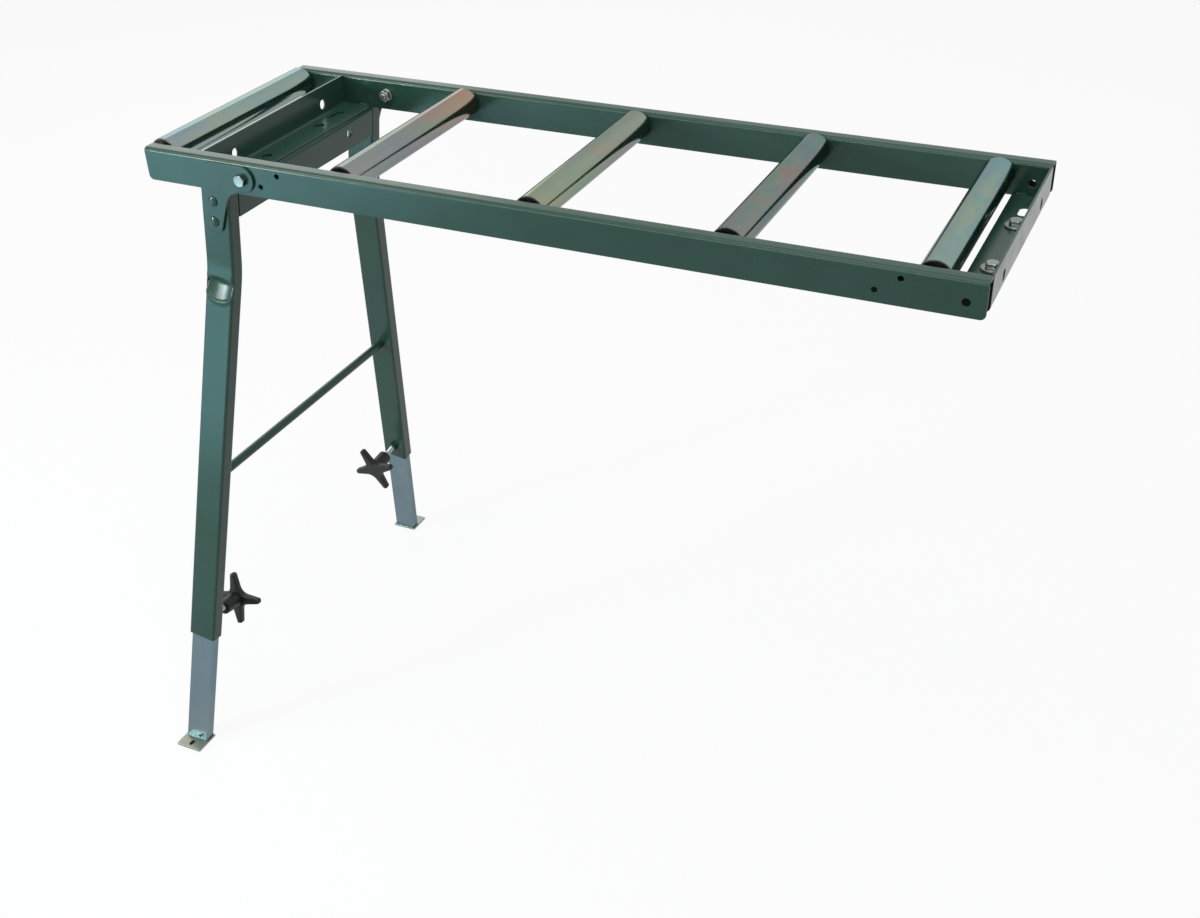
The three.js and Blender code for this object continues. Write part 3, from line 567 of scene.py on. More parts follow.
BOLT_ZINC = zinc_plate(
    "bolt_zinc",
    ((0.38, 0.41, 0.41), (0.42, 0.43, 0.41), (0.45, 0.46, 0.42)),
    shine=0.30,
    clouds=24.0,
)
# A darker copy of the bolt zinc for the pivot bolts: painted shade that holds back the lamps' reflection
# on their heads
SHADED_HEAD_ZINC = zinc_plate(
    "shaded_head_zinc",
    ((0.24, 0.25, 0.25), (0.28, 0.28, 0.27), (0.31, 0.31, 0.29)),
    shine=0.30,
    clouds=60.0,
)


# Pieces

def finish_piece(obj, material, body, nodes=(), sharp=32.0):
    """Gives a mesh object its material and shading, and its place in the frame."""
    mesh = obj.data
    mesh.materials.append(material)
    mesh.shade_smooth()
    mesh.set_sharp_from_angle(angle=radians(sharp))
    modifier = obj.modifiers.new("weighted", "WEIGHTED_NORMAL")
    modifier.keep_sharp = True
    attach(obj, body)
    if nodes:
        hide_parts(*nodes)


def add_piece(name, mesh):
    obj = bpy.data.objects.new(f"{name}_piece", mesh)
    bpy.context.collection.objects.link(obj)
    return obj


def mesh_object(name, verts, faces, place=Matrix()):
    """An object from millimetre points in the frame of place, with its faces turned outwards."""
    mesh = bpy.data.meshes.new(name)
    mesh.from_pydata([(place @ Vector(v)) * MM for v in verts], [], faces)
    tidy_mesh(mesh)
    return add_piece(name, mesh)


def tidy_mesh(mesh, merge=1e-7):
    bm = bmesh.new()
    bm.from_mesh(mesh)
    bmesh.ops.remove_doubles(bm, verts=bm.verts, dist=merge)
    bmesh.ops.recalc_face_normals(bm, faces=bm.faces)
    bm.to_mesh(mesh)
    bm.free()


def arc(centre, radius, start, end, steps):
    """Points of an arc, both ends included; angles in radians."""
    x, y = centre
    angles = [start + (end - start) * i / steps for i in range(steps + 1)]
    return [(x + radius * cos(angle), y + radius * sin(angle)) for angle in angles]


def rounded(points, radii, steps=5):
    """A closed outline with its corners rounded; one radius for all, or one each."""
    if not isinstance(radii, (list, tuple)):
        radii = [radii] * len(points)
    outline = []
    for i, (point, radius) in enumerate(zip(points, radii)):
        here = Vector(point)
        if radius <= 0:
            outline.append(tuple(here))
            continue
        before = (Vector(points[i - 1]) - here).normalized()
        after = (Vector(points[(i + 1) % len(points)]) - here).normalized()
        half = before.angle(after) / 2
        start = here + before * (radius / tan(half))
        centre = here + (before + after).normalized() * (radius / sin(half))
        first = start - centre
        sweep = (pi - 2 * half) * (1 if before.x * after.y - before.y * after.x < 0 else -1)
        for step in range(steps + 1):
            angle = sweep * step / steps
            c, s = cos(angle), sin(angle)
            outline.append((centre.x + c * first.x - s * first.y, centre.y + s * first.x + c * first.y))
    return outline


def circle(x, y, radius, steps=40):
    return arc((x, y), radius, 0, tau, steps)[:-1]


def level_ring(radius, z, steps):
    return [(x, y, z) for x, y in circle(0, 0, radius, steps)]


def slot_outline(x, y, width, length, along_y=True, steps=14):
    reach = (length - width) / 2
    points = arc((0, reach), width / 2, 0, pi, steps)
    points += arc((0, -reach), width / 2, pi, tau, steps)
    return [(x + (u if along_y else v), y + (v if along_y else u)) for u, v in points]


def plate_mesh(outlines, wall, edge=EDGE):
    """A flat plate between z = 0 and wall with rounded edges; all outlines but the first are holes."""
    curve = bpy.data.curves.new("outline", "CURVE")
    curve.dimensions = "2D"
    curve.fill_mode = "BOTH"
    curve.extrude = wall / 2 - edge
    curve.bevel_depth = edge
    curve.bevel_resolution = 2
    curve.offset = -edge
    for outline in outlines:
        spline = curve.splines.new("POLY")
        spline.points.add(len(outline) - 1)
        for point, (x, y) in zip(spline.points, outline):
            point.co = (x, y, 0, 1)
        spline.use_cyclic_u = True
    holder = bpy.data.objects.new("outline", curve)
    bpy.context.collection.objects.link(holder)
    bpy.context.view_layer.update()
    mesh = bpy.data.meshes.new_from_object(holder.evaluated_get(bpy.context.evaluated_depsgraph_get()))
    bpy.data.objects.remove(holder)
    bpy.data.curves.remove(curve)
    mesh.transform(shift(z=wall / 2))
    return mesh


def plate_object(name, outlines, wall, place, edge=EDGE):
    mesh = plate_mesh(outlines, wall, edge)
    mesh.name = name
    mesh.transform(Matrix.Scale(MM, 4) @ place)
    tidy_mesh(mesh, merge=TOLERANCE)
    return add_piece(name, mesh)


def ahead(angle):
    return Vector((cos(angle), sin(angle)))


def beside(angle):
    return Vector((-sin(angle), cos(angle)))


def bent_sheet(name, outlines, wall, bends, start, heading, to_space, steps=6):
    """Folds a flat plate drawn as (u, v) along v, by (straight, radius, angle) stretches from v = 0."""
    mesh = plate_mesh(outlines, wall)
    cuts, stretches, v = [], [], 0.0
    point, angle = Vector(start), heading
    inside = copysign(1, bends[0][2])
    for straight, radius, bend in bends:
        stretches.append((v, v + straight, point, angle, 0.0))
        v += straight
        point = point + ahead(angle) * straight
        if bend:
            length = radius * abs(bend)
            rate = bend / length
            stretches.append((v, v + length, point, angle, rate))
            cuts += [v + length * i / steps for i in range(steps + 1)]
            v += length
            point = point + (beside(angle) - beside(angle + bend)) / rate
            angle += bend
    bm = bmesh.new()
    bm.from_mesh(mesh)
    bmesh.ops.remove_doubles(bm, verts=bm.verts, dist=1e-4)
    for place in cuts:
        everything = bm.verts[:] + bm.edges[:] + bm.faces[:]
        plane = {"plane_co": (0, place, 0), "plane_no": (0, 1, 0)}
        bmesh.ops.bisect_plane(bm, geom=everything, dist=1e-5, **plane)
    for vert in bm.verts:
        u, along, depth = vert.co
        for low, high, origin, first, rate in stretches:
            if along <= high + TOLERANCE:
                break
        run = along - low
        now = first + rate * run
        if rate:
            p = origin + (beside(first) - beside(now)) / rate
        else:
            p = origin + ahead(first) * run
        p = p + beside(now) * inside * depth
        vert.co = Vector(to_space(u, p.x, p.y)) * MM
    bmesh.ops.recalc_face_normals(bm, faces=bm.faces)
    if bm.calc_volume(signed=True) < 0:
        bmesh.ops.reverse_faces(bm, faces=bm.faces)
    bm.to_mesh(mesh)
    bm.free()
    mesh.name = name
    return add_piece(name, mesh)


def loft_object(name, rings, place, closed_ends=True):
    """A skin over equal rings of points."""
    count = len(rings[0])
    verts = [point for ring in rings for point in ring]
    faces = []
    for row in range(len(rings) - 1):
        for i in range(count):
            j = (i + 1) % count
            here, after = row * count, (row + 1) * count
            faces.append((here + i, here + j, after + j, after + i))
    if closed_ends:
        faces.append(tuple(range(count)))
        faces.append(tuple(range((len(rings) - 1) * count, len(rings) * count)))
    return mesh_object(name, verts, faces, place)


def lathe_object(name, profile, place, steps=64):
    """A turned form about Z from a closed (radius, z) outline."""
    rings = []
    for i in range(steps):
        angle = tau * i / steps
        rings.append([(r * cos(angle), r * sin(angle), z) for r, z in profile])
    return loft_object(name, [*rings, rings[0]], place, closed_ends=False)


# Rails: the flat pattern runs up the outer web, across the top and down the inner web

def rail(name, side):
    straight = RAIL_HEIGHT - RAIL_BEND
    bend = RAIL_BEND * pi / 2
    flat = 2 * straight + RAIL_WIDTH - 2 * RAIL_BEND + 2 * bend
    corners = [(-TABLE_LENGTH, 0), (0, 0), (0, flat), (-TABLE_LENGTH, flat)]
    pattern = rounded(corners, RAIL_CORNER, steps=8)

    def outer_v(z):
        return z - RAIL_BOTTOM

    def inner_v(z):
        return flat - (z - RAIL_BOTTOM)

    # In section, p runs from the outer face towards the middle of the table.
    def to_space(u, p, q):
        return u, side * (HALF_WIDTH - p), q

    holes = []
    for x in (OUTER_PAIR_INSET - TABLE_LENGTH, -MACHINE_PAIR_INSET):
        holes.append(circle(x, outer_v(ACCESSORY_LOW_Z), ACCESSORY_HOLE_R))
        holes.append(circle(x + ACCESSORY_PAIR_STEP, outer_v(ACCESSORY_HIGH_Z), ACCESSORY_HOLE_R))
    for v in (outer_v, inner_v):
        holes.append(circle(-SIDE_HOLE_INSET, v(SIDE_HOLE_Z), SIDE_HOLE_R))
        holes.append(circle(PIVOT_X, v(0), BOLT_R + SEAT_GAP))
    for index in range(1, ROLLER_COUNT + 1):
        middle = middle_mm(f"roller_axle_{index}")
        holes.append(circle(middle.x, inner_v(middle.z), AXLE_R + SEAT_GAP))
    bends = [
        (straight, RAIL_BEND, -pi / 2),
        (RAIL_WIDTH - 2 * RAIL_BEND, RAIL_BEND, -pi / 2),
        (straight, 0, 0),
    ]
    obj = bent_sheet(name, [pattern, *holes], RAIL_WALL, bends, (0, RAIL_BOTTOM), pi / 2, to_space)
    finish_piece(obj, GREEN, "table_frame", [name])
    # The faces between the webs, under the top, take the painted shade.
    obj.data.materials.append(RAIL_INSIDE_SHADE)
    for face in obj.data.polygons:
        y, z = abs(face.center.y) / MM, face.center.z / MM
        between_webs = INNER_WEB + SKIN < y < HALF_WIDTH - SKIN
        face.material_index = int(between_webs and z < RAIL_TOP - SKIN)


for name, side in SIDES:
    rail(f"{name}_rail", side)


# End angles: the flat pattern runs down the upright flange and back along the lower one

def crosswise(place):
    """Puts a sheet's u along the Y axis of place and its section in the XZ plane."""
    return lambda u, p, q: place @ Vector((p, u, q))


def end_angle(name, place):
    low, high = corners_mm(name)
    half = (high.y - low.y) / 2
    upright = high.z - low.z - ANGLE_BEND
    corner = ANGLE_BEND * pi / 2
    flat = upright + corner + ANGLE_LEG - ANGLE_BEND
    flange_v = upright + corner - ANGLE_BEND
    pattern = rounded([(-half, 0), (half, 0), (half, flat), (-half, flat)], ANGLE_CORNER, steps=3)
    outlines = [pattern]
    for side in (-1, 1):
        outlines.append(slot_outline(side * SLOT_SPAN / 2, high.z - SLOT_Z, SLOT_WIDTH, SLOT_LENGTH))
        hole_y = side * FLANGE_HOLE_SPAN / 2
        outlines.append(circle(hole_y, flange_v + FLANGE_HOLE_INSET, FLANGE_HOLE_R))
        spare = (side * SPARE_SPAN / 2, flange_v + SPARE_INSET, SPARE_WIDTH, SPARE_LENGTH)
        outlines.append(slot_outline(*spare, along_y=False))
    bends = [(upright, ANGLE_BEND, -pi / 2), (ANGLE_LEG - ANGLE_BEND, 0, 0)]
    start = (0, high.z)
    obj = bent_sheet(name, outlines, ANGLE_WALL, bends, start, -pi / 2, crosswise(place), steps=8)
    finish_piece(obj, GREEN, "table_frame", [name])


end_angle("machine_angle", Matrix())
end_angle("outer_angle", shift(corners_mm("outer_angle")[0].x) @ turn(pi, "Z"))


# Hardware, drawn along +Z with the seat at z = 0

def hex_rings(low, high, chamfer_high):
    """Rings of a hex prism, its corners turned off at the lower end and, if asked, at the upper one."""
    flat = HEX_FLATS / 2
    slope = tan(HEX_CHAMFER)
    reach = (HEX_FLATS / sqrt(3) - flat) * slope * HEX_CHAMFER_REACH
    chamfer = []
    for i in range(HEX_CHAMFER_STEPS + 1):
        step = reach * i / HEX_CHAMFER_STEPS
        chamfer.append((step, flat * HEX_CHAMFER_FACE + step / slope))
    heights = [(low + step, limit) for step, limit in chamfer]
    if chamfer_high:
        heights += [(high - step, limit) for step, limit in reversed(chamfer)]
    else:
        heights.append((high, inf))
    rings = []
    for z, limit in heights:
        ring = []
        for i in range(HEX_STEPS):
            angle = tau * i / HEX_STEPS
            sector = (angle + pi / 6) % (pi / 3) - pi / 6
            r = min(flat / cos(sector), limit)
            ring.append((r * cos(angle), r * sin(angle), z))
        rings.append(ring)
    return rings


def thread_rings(low, high, around, per_turn=8):
    """Rings of a screw thread between two heights, run out at both ends."""
    rings = []
    count = max(2, int((high - low) / THREAD_PITCH * per_turn))
    for row in range(count + 1):
        z = low + (high - low) * row / count
        fade = min(1.0, (z - low) / THREAD_RUNOUT, (high - z) / THREAD_RUNOUT)
        ring = []
        for i in range(around):
            phase = (z / THREAD_PITCH - i / around) % 1.0
            groove = THREAD_DEPTH * (1 - min(1.0, abs(phase - 0.5) * THREAD_FLANK)) * max(fade, 0.0)
            r = BOLT_R - THREAD_PLAY - groove
            angle = tau * i / around
            ring.append((r * cos(angle), r * sin(angle), z))
        rings.append(ring)
    return rings


def bolt(name, length, thread, place, material):
    """Head below z = 0, shank up to length, the last stretch threaded."""
    rings = [
        level_ring(HEAD_DISH_R, HEAD_DISH - HEAD_HEIGHT, HEX_STEPS),
        level_ring(HEAD_FACE_R, -HEAD_HEIGHT, HEX_STEPS),
        *hex_rings(-HEAD_HEIGHT, 0.0, chamfer_high=False),
        level_ring(BOLT_R, 0.0, HEX_STEPS),
        level_ring(BOLT_R, length - thread, HEX_STEPS),
        *thread_rings(length - thread, length - BOLT_POINT, HEX_STEPS),
        level_ring(BOLT_R - BOLT_POINT_INSET, length, HEX_STEPS),
    ]
    obj = loft_object(name, rings, place)
    finish_piece(obj, material, "table_frame", [name], sharp=28)


def nut(name, place, material, body):
    bore = BOLT_R + NUT_PLAY
    mouth = bore + NUT_COUNTERSINK
    rings = [
        *hex_rings(0.0, NUT_HEIGHT, chamfer_high=True),
        level_ring(mouth, NUT_HEIGHT, HEX_STEPS),
        level_ring(bore, NUT_HEIGHT - NUT_COUNTERSINK_DEPTH, HEX_STEPS),
        level_ring(bore, NUT_COUNTERSINK_DEPTH, HEX_STEPS),
        level_ring(mouth, 0.0, HEX_STEPS),
    ]
    obj = loft_object(name, [*rings, rings[0]], place, closed_ends=False)
    finish_piece(obj, material, body, [name], sharp=28)


def washer(name, place, radius, wall):
    bore = BOLT_R + SEAT_GAP
    profile = rounded([(bore, 0), (radius, 0), (radius, wall), (bore, wall)], WASHER_EDGE, steps=3)
    obj = lathe_object(name, profile, place, steps=72)
    finish_piece(obj, BOLT_ZINC, "table_frame", [name])


for name, side in SIDES:
    across = shift(PIVOT_X) @ turn(0 if side < 0 else pi, "Z") @ Y_FROM_Z
    seat = -HALF_WIDTH - PLATE_WALL - 2 * SEAT_GAP
    washer_seat = -INNER_WEB + SEAT_GAP
    nut_seat = washer_seat + WASHER_WALL + SEAT_GAP
    length = nut_seat + NUT_HEIGHT + BOLT_END - seat
    place = across @ shift(z=seat) @ turn(PIVOT_HEAD_TURN, "Z")
    bolt(f"{name}_pivot_bolt", length, PIVOT_THREAD, place, SHADED_HEAD_ZINC)
    washer(f"{name}_pivot_washer", across @ shift(z=washer_seat), WASHER_R, WASHER_WALL)
    place = across @ shift(z=nut_seat) @ turn(PIVOT_NUT_TURN, "Z")
    nut(f"{name}_pivot_nut", place, BOLT_ZINC, "table_frame")

for index, side in ((1, -1), (2, 1)):
    flange_top = RAIL_BOTTOM + ANGLE_WALL + SEAT_GAP
    stack = shift(-MACHINE_BOLT_INSET, side * FLANGE_HOLE_SPAN / 2, flange_top)
    washer(f"machine_washer_{index}", stack, WIDE_WASHER_R, WIDE_WASHER_WALL)
    turned = turn(pi, "X") @ turn(MACHINE_HEAD_TURN * side, "Z")
    seat = stack @ shift(z=WIDE_WASHER_WALL + SEAT_GAP) @ turned
    bolt(f"machine_bolt_{index}", MACHINE_BOLT_LENGTH, MACHINE_THREAD, seat, BOLT_ZINC)


# Rollers

def roller(index):
    node = f"roller_tube_{index}"
    body = f"roller_{index}"
    low, high = corners_mm(node)
    radius = (high.z - low.z) / 2
    half = (high.y - low.y) / 2
    middle = (low + high) / 2
    centre = shift(middle.x, 0, middle.z) @ Y_FROM_Z
    bore = radius - ROLLER_WALL
    wall = rounded(
        [(bore, -half), (radius, -half), (radius, half), (bore, half)],
        [ROLLER_BORE_EDGE, ROLLER_EDGE, ROLLER_EDGE, ROLLER_BORE_EDGE],
        steps=4,
    )
    tube = lathe_object(node, wall, centre, steps=128)
    finish_piece(tube, ROLLER_ZINC[index - 1], body, [node], sharp=40)
    tube.data.materials.append(TUBE_END)
    for face in tube.data.polygons:
        face.material_index = int(abs(face.center.y) / MM > half - ROLLER_EDGE)
    front = half - CAP_RECESS
    back = front - CAP_DEPTH
    dish = front - CAP_DISH
    boss = INNER_WEB - SEAT_GAP
    rim = bore - SEAT_GAP
    cap = rounded(
        [
            (CAP_BORE_R, back),
            (rim, back),
            (rim, front),
            (rim - CAP_RIM, front),
            (rim - CAP_RIM - CAP_DISH_SLOPE, dish),
            (CAP_COLLAR_R + CAP_COLLAR_SLOPE, dish),
            (CAP_COLLAR_R, front),
            (CAP_BOSS_R, front + CAP_COLLAR_RISE),
            (CAP_BOSS_R, boss),
            (CAP_BORE_R, boss),
        ],
        CAP_ROUNDINGS,
        steps=3,
    )
    for end, side in SIDES:
        facing = Matrix() if side > 0 else turn(pi, "X")
        node = f"roller_{index}_{end}_cap"
        obj = lathe_object(node, cap, centre @ facing, steps=96)
        finish_piece(obj, BLACK, body, [node])
    node = f"roller_axle_{index}"
    reach = corners_mm(node)[1].y
    rod = rounded(
        [(0, -reach), (AXLE_R, -reach), (AXLE_R, reach), (0, reach)],
        [0, AXLE_EDGE, AXLE_EDGE, 0],
        steps=2,
    )
    finish_piece(lathe_object(node, rod, centre, steps=40), BOLT_ZINC, "table_frame", [node])


for index in range(1, ROLLER_COUNT + 1):
    roller(index)


# Legs

def rounded_section(depth, width, radius, corner=6, wide=28, narrow=8):
    """A rounded rectangle with points along its faces, counter-clockwise, as (x, y)."""
    x, y = depth / 2 - radius, width / 2 - radius
    points = []
    sides = (((x, y), wide, (-1, 0), 2 * x), ((-x, y), narrow, (0, -1), 2 * y),
             ((-x, -y), wide, (1, 0), 2 * x), ((x, -y), narrow, (0, 1), 2 * y))
    for quarter, (centre, count, step, run) in enumerate(sides):
        start = quarter * pi / 2
        points += arc(centre, radius, start, start + pi / 2, corner)
        end_x, end_y = points[-1]
        for i in range(1, count):
            along = run * i / count
            points.append((end_x + step[0] * along, end_y + step[1] * along))
    return points


def leg_top(x):
    return (RAIL_BOTTOM - SEAT_GAP + x * sin(LEAN)) / cos(LEAN)


def bulge(distance, before, after):
    """1 at its crest, falling off over one width before it and another after it."""
    return exp(-(distance / (before if distance < 0 else after)) ** 2)


def dent(x, along):
    """Depth of the pressed dent at x across the outer face and along the leg from the bend."""
    across = min(1.0, abs(x) / (LEG_DEPTH / 2))
    middle = 1 - (1 - DENT_EDGE_SHARE) * across ** DENT_ROUNDNESS
    offset = along - DENT_DROP
    rise, fall = DENT_RISE * middle, DENT_FALL * middle
    floor = 1 - sqrt((offset / (rise if offset < 0 else fall)) ** 2 + DENT_SOFTNESS)
    lip = bulge(offset + rise + DENT_LIP_OFFSET, *DENT_LIP_WIDTHS) * DENT_LIP * middle
    ridge = bulge(offset - fall - DENT_RIDGE_OFFSET, *DENT_RIDGE_WIDTHS) * DENT_RIDGE
    return DENT_DEPTH * middle * max(0.0, floor) - lip - ridge


def leg(name, side):
    leg_y = side * LEG_Y
    tangent = LEG_BEND * tan(SPLAY / 2)
    arc_length = LEG_BEND * SPLAY
    start = LEG_BEND_Z + tangent
    total = arc_length + LEG_LOWER - tangent

    def centre(run):
        """Centre y, z and direction of the leg's axis at a run below the start of the bend."""
        if run <= 0:
            return leg_y, start - run, 0.0
        if run <= arc_length:
            angle = run / LEG_BEND
            y = leg_y + side * LEG_BEND * (1 - cos(angle))
            return y, start - LEG_BEND * sin(angle), angle
        rest = run - arc_length
        y = leg_y + side * (LEG_BEND * (1 - cos(SPLAY)) + rest * sin(SPLAY))
        return y, start - LEG_BEND * sin(SPLAY) - rest * cos(SPLAY), SPLAY

    def ring(section, run, pressed_from=inf):
        y, z, angle = centre(run)
        points = []
        for px, py in section:
            if side * py > pressed_from:
                py -= side * dent(px, run - tangent)
            points.append((LEG_AXIS + px, y + py * cos(angle), z + py * side * sin(angle)))
        return points

    def top_ring(section):
        return [(LEG_AXIS + px, leg_y + py, leg_top(LEG_AXIS + px)) for px, py in section]

    # One station each millimetre along the bend and the dent
    count = int(DENT_ABOVE + tangent + DENT_DROP + DENT_FALL + DENT_BELOW)
    stations = [i - DENT_ABOVE for i in range(count)]
    outer = rounded_section(LEG_DEPTH, LEG_WIDTH, LEG_CORNER)
    rim = rounded_section(LEG_DEPTH - 2 * LEG_RIM, LEG_WIDTH - 2 * LEG_RIM, LEG_CORNER - LEG_RIM)
    inner = rounded_section(LEG_DEPTH - 2 * LEG_WALL, LEG_WIDTH - 2 * LEG_WALL, LEG_CORNER - LEG_WALL)
    rings = [top_ring(inner), top_ring(outer)]
    outer_face = LEG_WIDTH / 2 - LEG_CORNER / 2
    rings += [ring(outer, run, outer_face) for run in stations]
    rings += [ring(outer, total - LEG_RIM), ring(rim, total), ring(inner, total)]
    rings += [ring(inner, run, outer_face - LEG_WALL) for run in reversed(stations)]
    obj = loft_object(name, [*rings, rings[0]], LEG_PLACE, closed_ends=False)
    finish_piece(obj, GREEN, "leg_frame", [name], sharp=50)


# Pivot plates, drawn as (x, z) about the pivot in the leaning frame

def pivot_plate(end, side):
    name = f"{end}_pivot_plate"
    back = LEG_AXIS - LEG_DEPTH / 2 + PLATE_BACK_INSET
    top = pi / 2 + LEAN
    top_x, top_z = PLATE_NOSE_R * ahead(top)
    corners = [
        (top_x, top_z),
        (back, top_z + (back - top_x) * tan(LEAN)),
        (back, -PLATE_DROP),
        (back + PLATE_TIP_WIDTH, -PLATE_DROP),
        (-LEG_FACE + PLATE_NECK_INSET, -PLATE_NECK_DROP),
        PLATE_THROAT,
    ]
    radii = [0, PLATE_SHOULDER_R, PLATE_TIP_R, PLATE_TIP_R, PLATE_NECK_R, 0]
    nose = arc((0, 0), PLATE_NOSE_R, PLATE_NOSE_START, top, steps=24)
    outline = rounded(corners, radii, steps=10)[1:-1] + nose
    hole = circle(0, 0, BOLT_R + SEAT_GAP)
    # The plate's own z goes towards -Y after this turn.
    inner_face = side * (HALF_WIDTH + SEAT_GAP)
    offset = inner_face if side < 0 else inner_face + PLATE_WALL
    place = LEG_PLACE @ shift(y=offset) @ turn(pi / 2, "X")
    obj = plate_object(name, [outline, hole], PLATE_WALL, place, PLATE_EDGE)
    finish_piece(obj, GREEN, "leg_frame", [name])


def plate_rivet(name, side, drop):
    seat = side * (HALF_WIDTH + PLATE_WALL + 2 * SEAT_GAP)
    place = LEG_PLACE @ shift(LEG_AXIS, seat, -drop) @ turn(-side * pi / 2, "X")
    obj = lathe_object(name, rounded(RIVET_PROFILE, RIVET_ROUNDINGS), place, steps=48)
    finish_piece(obj, GREEN, "leg_frame", [name], sharp=60)


for name, side in SIDES:
    leg(f"{name}_leg", side)
    pivot_plate(name, side)
    for index, drop in enumerate(RIVET_DROPS, 1):
        plate_rivet(f"{name}_rivet_{index}", side, drop)


# The flat pattern runs up the upright flange and back along the top one, which is level with the rails.
def cross_angle():
    name = "leg_cross_angle"
    bend = pi / 2 + LEAN
    setback = CROSS_BEND * tan(bend / 2)
    top = leg_top(-LEG_FACE)
    upright = CROSS_HEIGHT - setback
    flange = CROSS_DEPTH / cos(LEAN) - setback
    flat = upright + CROSS_BEND * bend + flange
    half = HALF_WIDTH - LEG_WIDTH - SEAT_GAP
    pattern = [(-half, 0), (half, 0), (half, flat), (-half, flat)]
    slot_v = CROSS_HEIGHT - CROSS_SLOT_DROP
    slot_y = CROSS_SLOT_SPAN / 2
    slots = [slot_outline(y, slot_v, SLOT_WIDTH, SLOT_LENGTH) for y in (-slot_y, slot_y)]
    bends = [(upright, CROSS_BEND, bend), (flange, 0, 0)]
    start = (-LEG_FACE, top - CROSS_HEIGHT)
    outlines = [pattern, *slots]
    obj = bent_sheet(name, outlines, CROSS_WALL, bends, start, pi / 2, crosswise(LEG_PLACE), steps=8)
    finish_piece(obj, GREEN, "leg_frame", [name])


def spreader():
    name = "spreader_rod"
    middle = LEG_START - SPREADER_DROP
    bend_face = LEG_Y - LEG_WIDTH / 2 / cos(SPLAY)
    rings = []
    for row in range(-SPREADER_ROWS, SPREADER_ROWS + 1):
        ring = []
        for x, rise in circle(0, 0, SPREADER_R, SPREADER_STEPS):
            z = middle + rise
            reach = bend_face + (LEG_BEND_Z - z) * tan(SPLAY) - SPREADER_GAP
            ring.append((LEG_AXIS + x, row / SPREADER_ROWS * reach, z))
        rings.append(ring)
    obj = loft_object(name, rings, LEG_PLACE)
    finish_piece(obj, GREEN, "leg_frame", [name], sharp=50)


cross_angle()
spreader()


# Feet and clamps

def foot(name, side):
    body = f"{name}_foot"
    plate_node = f"{name}_foot_plate"
    low, high = corners_mm(plate_node)
    place = lower_leg_place(side)
    up = place.to_3x3().inverted() @ Vector((0, 0, 1))
    end_height = high.z + FOOT_WELD_GAP - place.translation.z

    def level(x, y):
        """The tube's end, cut level above the sole."""
        return (end_height - up.x * x - up.y * y) / up.z

    top = level(0, 0) + FOOT_TUBE_LENGTH
    gap = 2 * (LEG_WALL + FOOT_CLEARANCE)
    depth, width = LEG_DEPTH - gap, LEG_WIDTH - gap
    outer = rounded_section(depth, width, FOOT_CORNER, wide=4, narrow=3)
    bore_depth, bore_width = depth - 2 * FOOT_WALL, width - 2 * FOOT_WALL
    inner = rounded_section(bore_depth, bore_width, FOOT_INNER_CORNER, wide=4, narrow=3)
    rings = [
        [(x, y, top) for x, y in inner],
        [(x, y, top) for x, y in outer],
        [(x, y, level(x, y)) for x, y in outer],
        [(x, y, level(x, y)) for x, y in inner],
    ]
    node = f"{name}_foot_tube"
    tube = loft_object(node, [*rings, rings[0]], place, closed_ends=False)
    finish_piece(tube, TUBE_ZINC, body, [node], sharp=45)

    corners = [(low.x, low.y), (high.x, low.y), (high.x, high.y), (low.x, high.y)]
    outline = rounded(corners, FOOT_PLATE_CORNER, steps=4)
    slot_y = (high.y if side > 0 else low.y) - side * FOOT_SLOT_INSET
    slot = slot_outline((low.x + high.x) / 2, slot_y, FOOT_SLOT_WIDTH, FOOT_SLOT_LENGTH)
    ground = shift(z=low.z)
    plate = plate_object(plate_node, [outline, slot], FOOT_PLATE_WALL, ground, FOOT_PLATE_EDGE)
    finish_piece(plate, PLATE_ZINC, body, [plate_node])
    # A thin black sheet fills the slot as painted shade.
    shade_plug = plate_object(f"{name}_slot_shade_plug", [slot], SHADE_PLUG_WALL, ground, SHADE_PLUG_EDGE)
    finish_piece(shade_plug, BLACK, body)


def knob_outline(turned):
    """A four-armed cross with wide throats, its arms tapering to rounded tips."""
    points, radii = [], []
    for arm in range(4):
        angle = arm * pi / 2 + turned
        for y in (-KNOB_TIP, KNOB_TIP):
            points.append(KNOB_REACH * ahead(angle) + y * beside(angle))
        points.append(KNOB_THROAT * ahead(angle + pi / 4))
        radii += [KNOB_TIP_R, KNOB_TIP_R, KNOB_THROAT_R]
    return rounded(points, radii, steps=10)


def clamp(name, side):
    body = f"{name}_clamp"
    place = clamp_place(side)
    arm_low = KNOB_STANDOFF + HUB_LENGTH - KNOB_WALL / 2
    node = f"{name}_knob"
    cross = knob_outline(KNOB_TURNS[name])
    arms = plate_object(node, [cross], KNOB_WALL, place @ shift(z=arm_low), KNOB_EDGE)
    finish_piece(arms, BLACK, body, [node], sharp=40)

    bore_end = KNOB_STANDOFF + HUB_BORE_DEPTH
    hub_top = arm_low + HUB_OVERLAP
    profile = rounded(
        [
            (0, bore_end),
            (HUB_BORE_R, bore_end),
            (HUB_BORE_R, KNOB_STANDOFF),
            (HUB_R - HUB_FLARE, KNOB_STANDOFF),
            (HUB_R + HUB_FLARE, hub_top),
            (0, hub_top),
        ],
        HUB_ROUNDINGS,
        steps=4,
    )
    hub = lathe_object(f"{name}_knob_hub", profile, place, steps=72)
    finish_piece(hub, BLACK, body)

    node = f"{name}_stud"
    tip = level_ring(STUD_POINT_R, -STUD_DEPTH, STUD_STEPS)
    rings = thread_rings(STUD_POINT - STUD_DEPTH, bore_end - STUD_END_GAP, STUD_STEPS)
    stud = loft_object(node, [tip, *rings], place)
    finish_piece(stud, BOLT_ZINC, body, [node], sharp=50)
    seat = place @ shift(z=SEAT_GAP) @ turn(CLAMP_NUT_TURN, "Z")
    nut(f"{name}_clamp_nut", seat, GREEN, "leg_frame")


for name, side in SIDES:
    foot(name, side)
for name, side in SIDES:
    clamp(name, side)


# Welds: beads of overlapping ripples, painted over

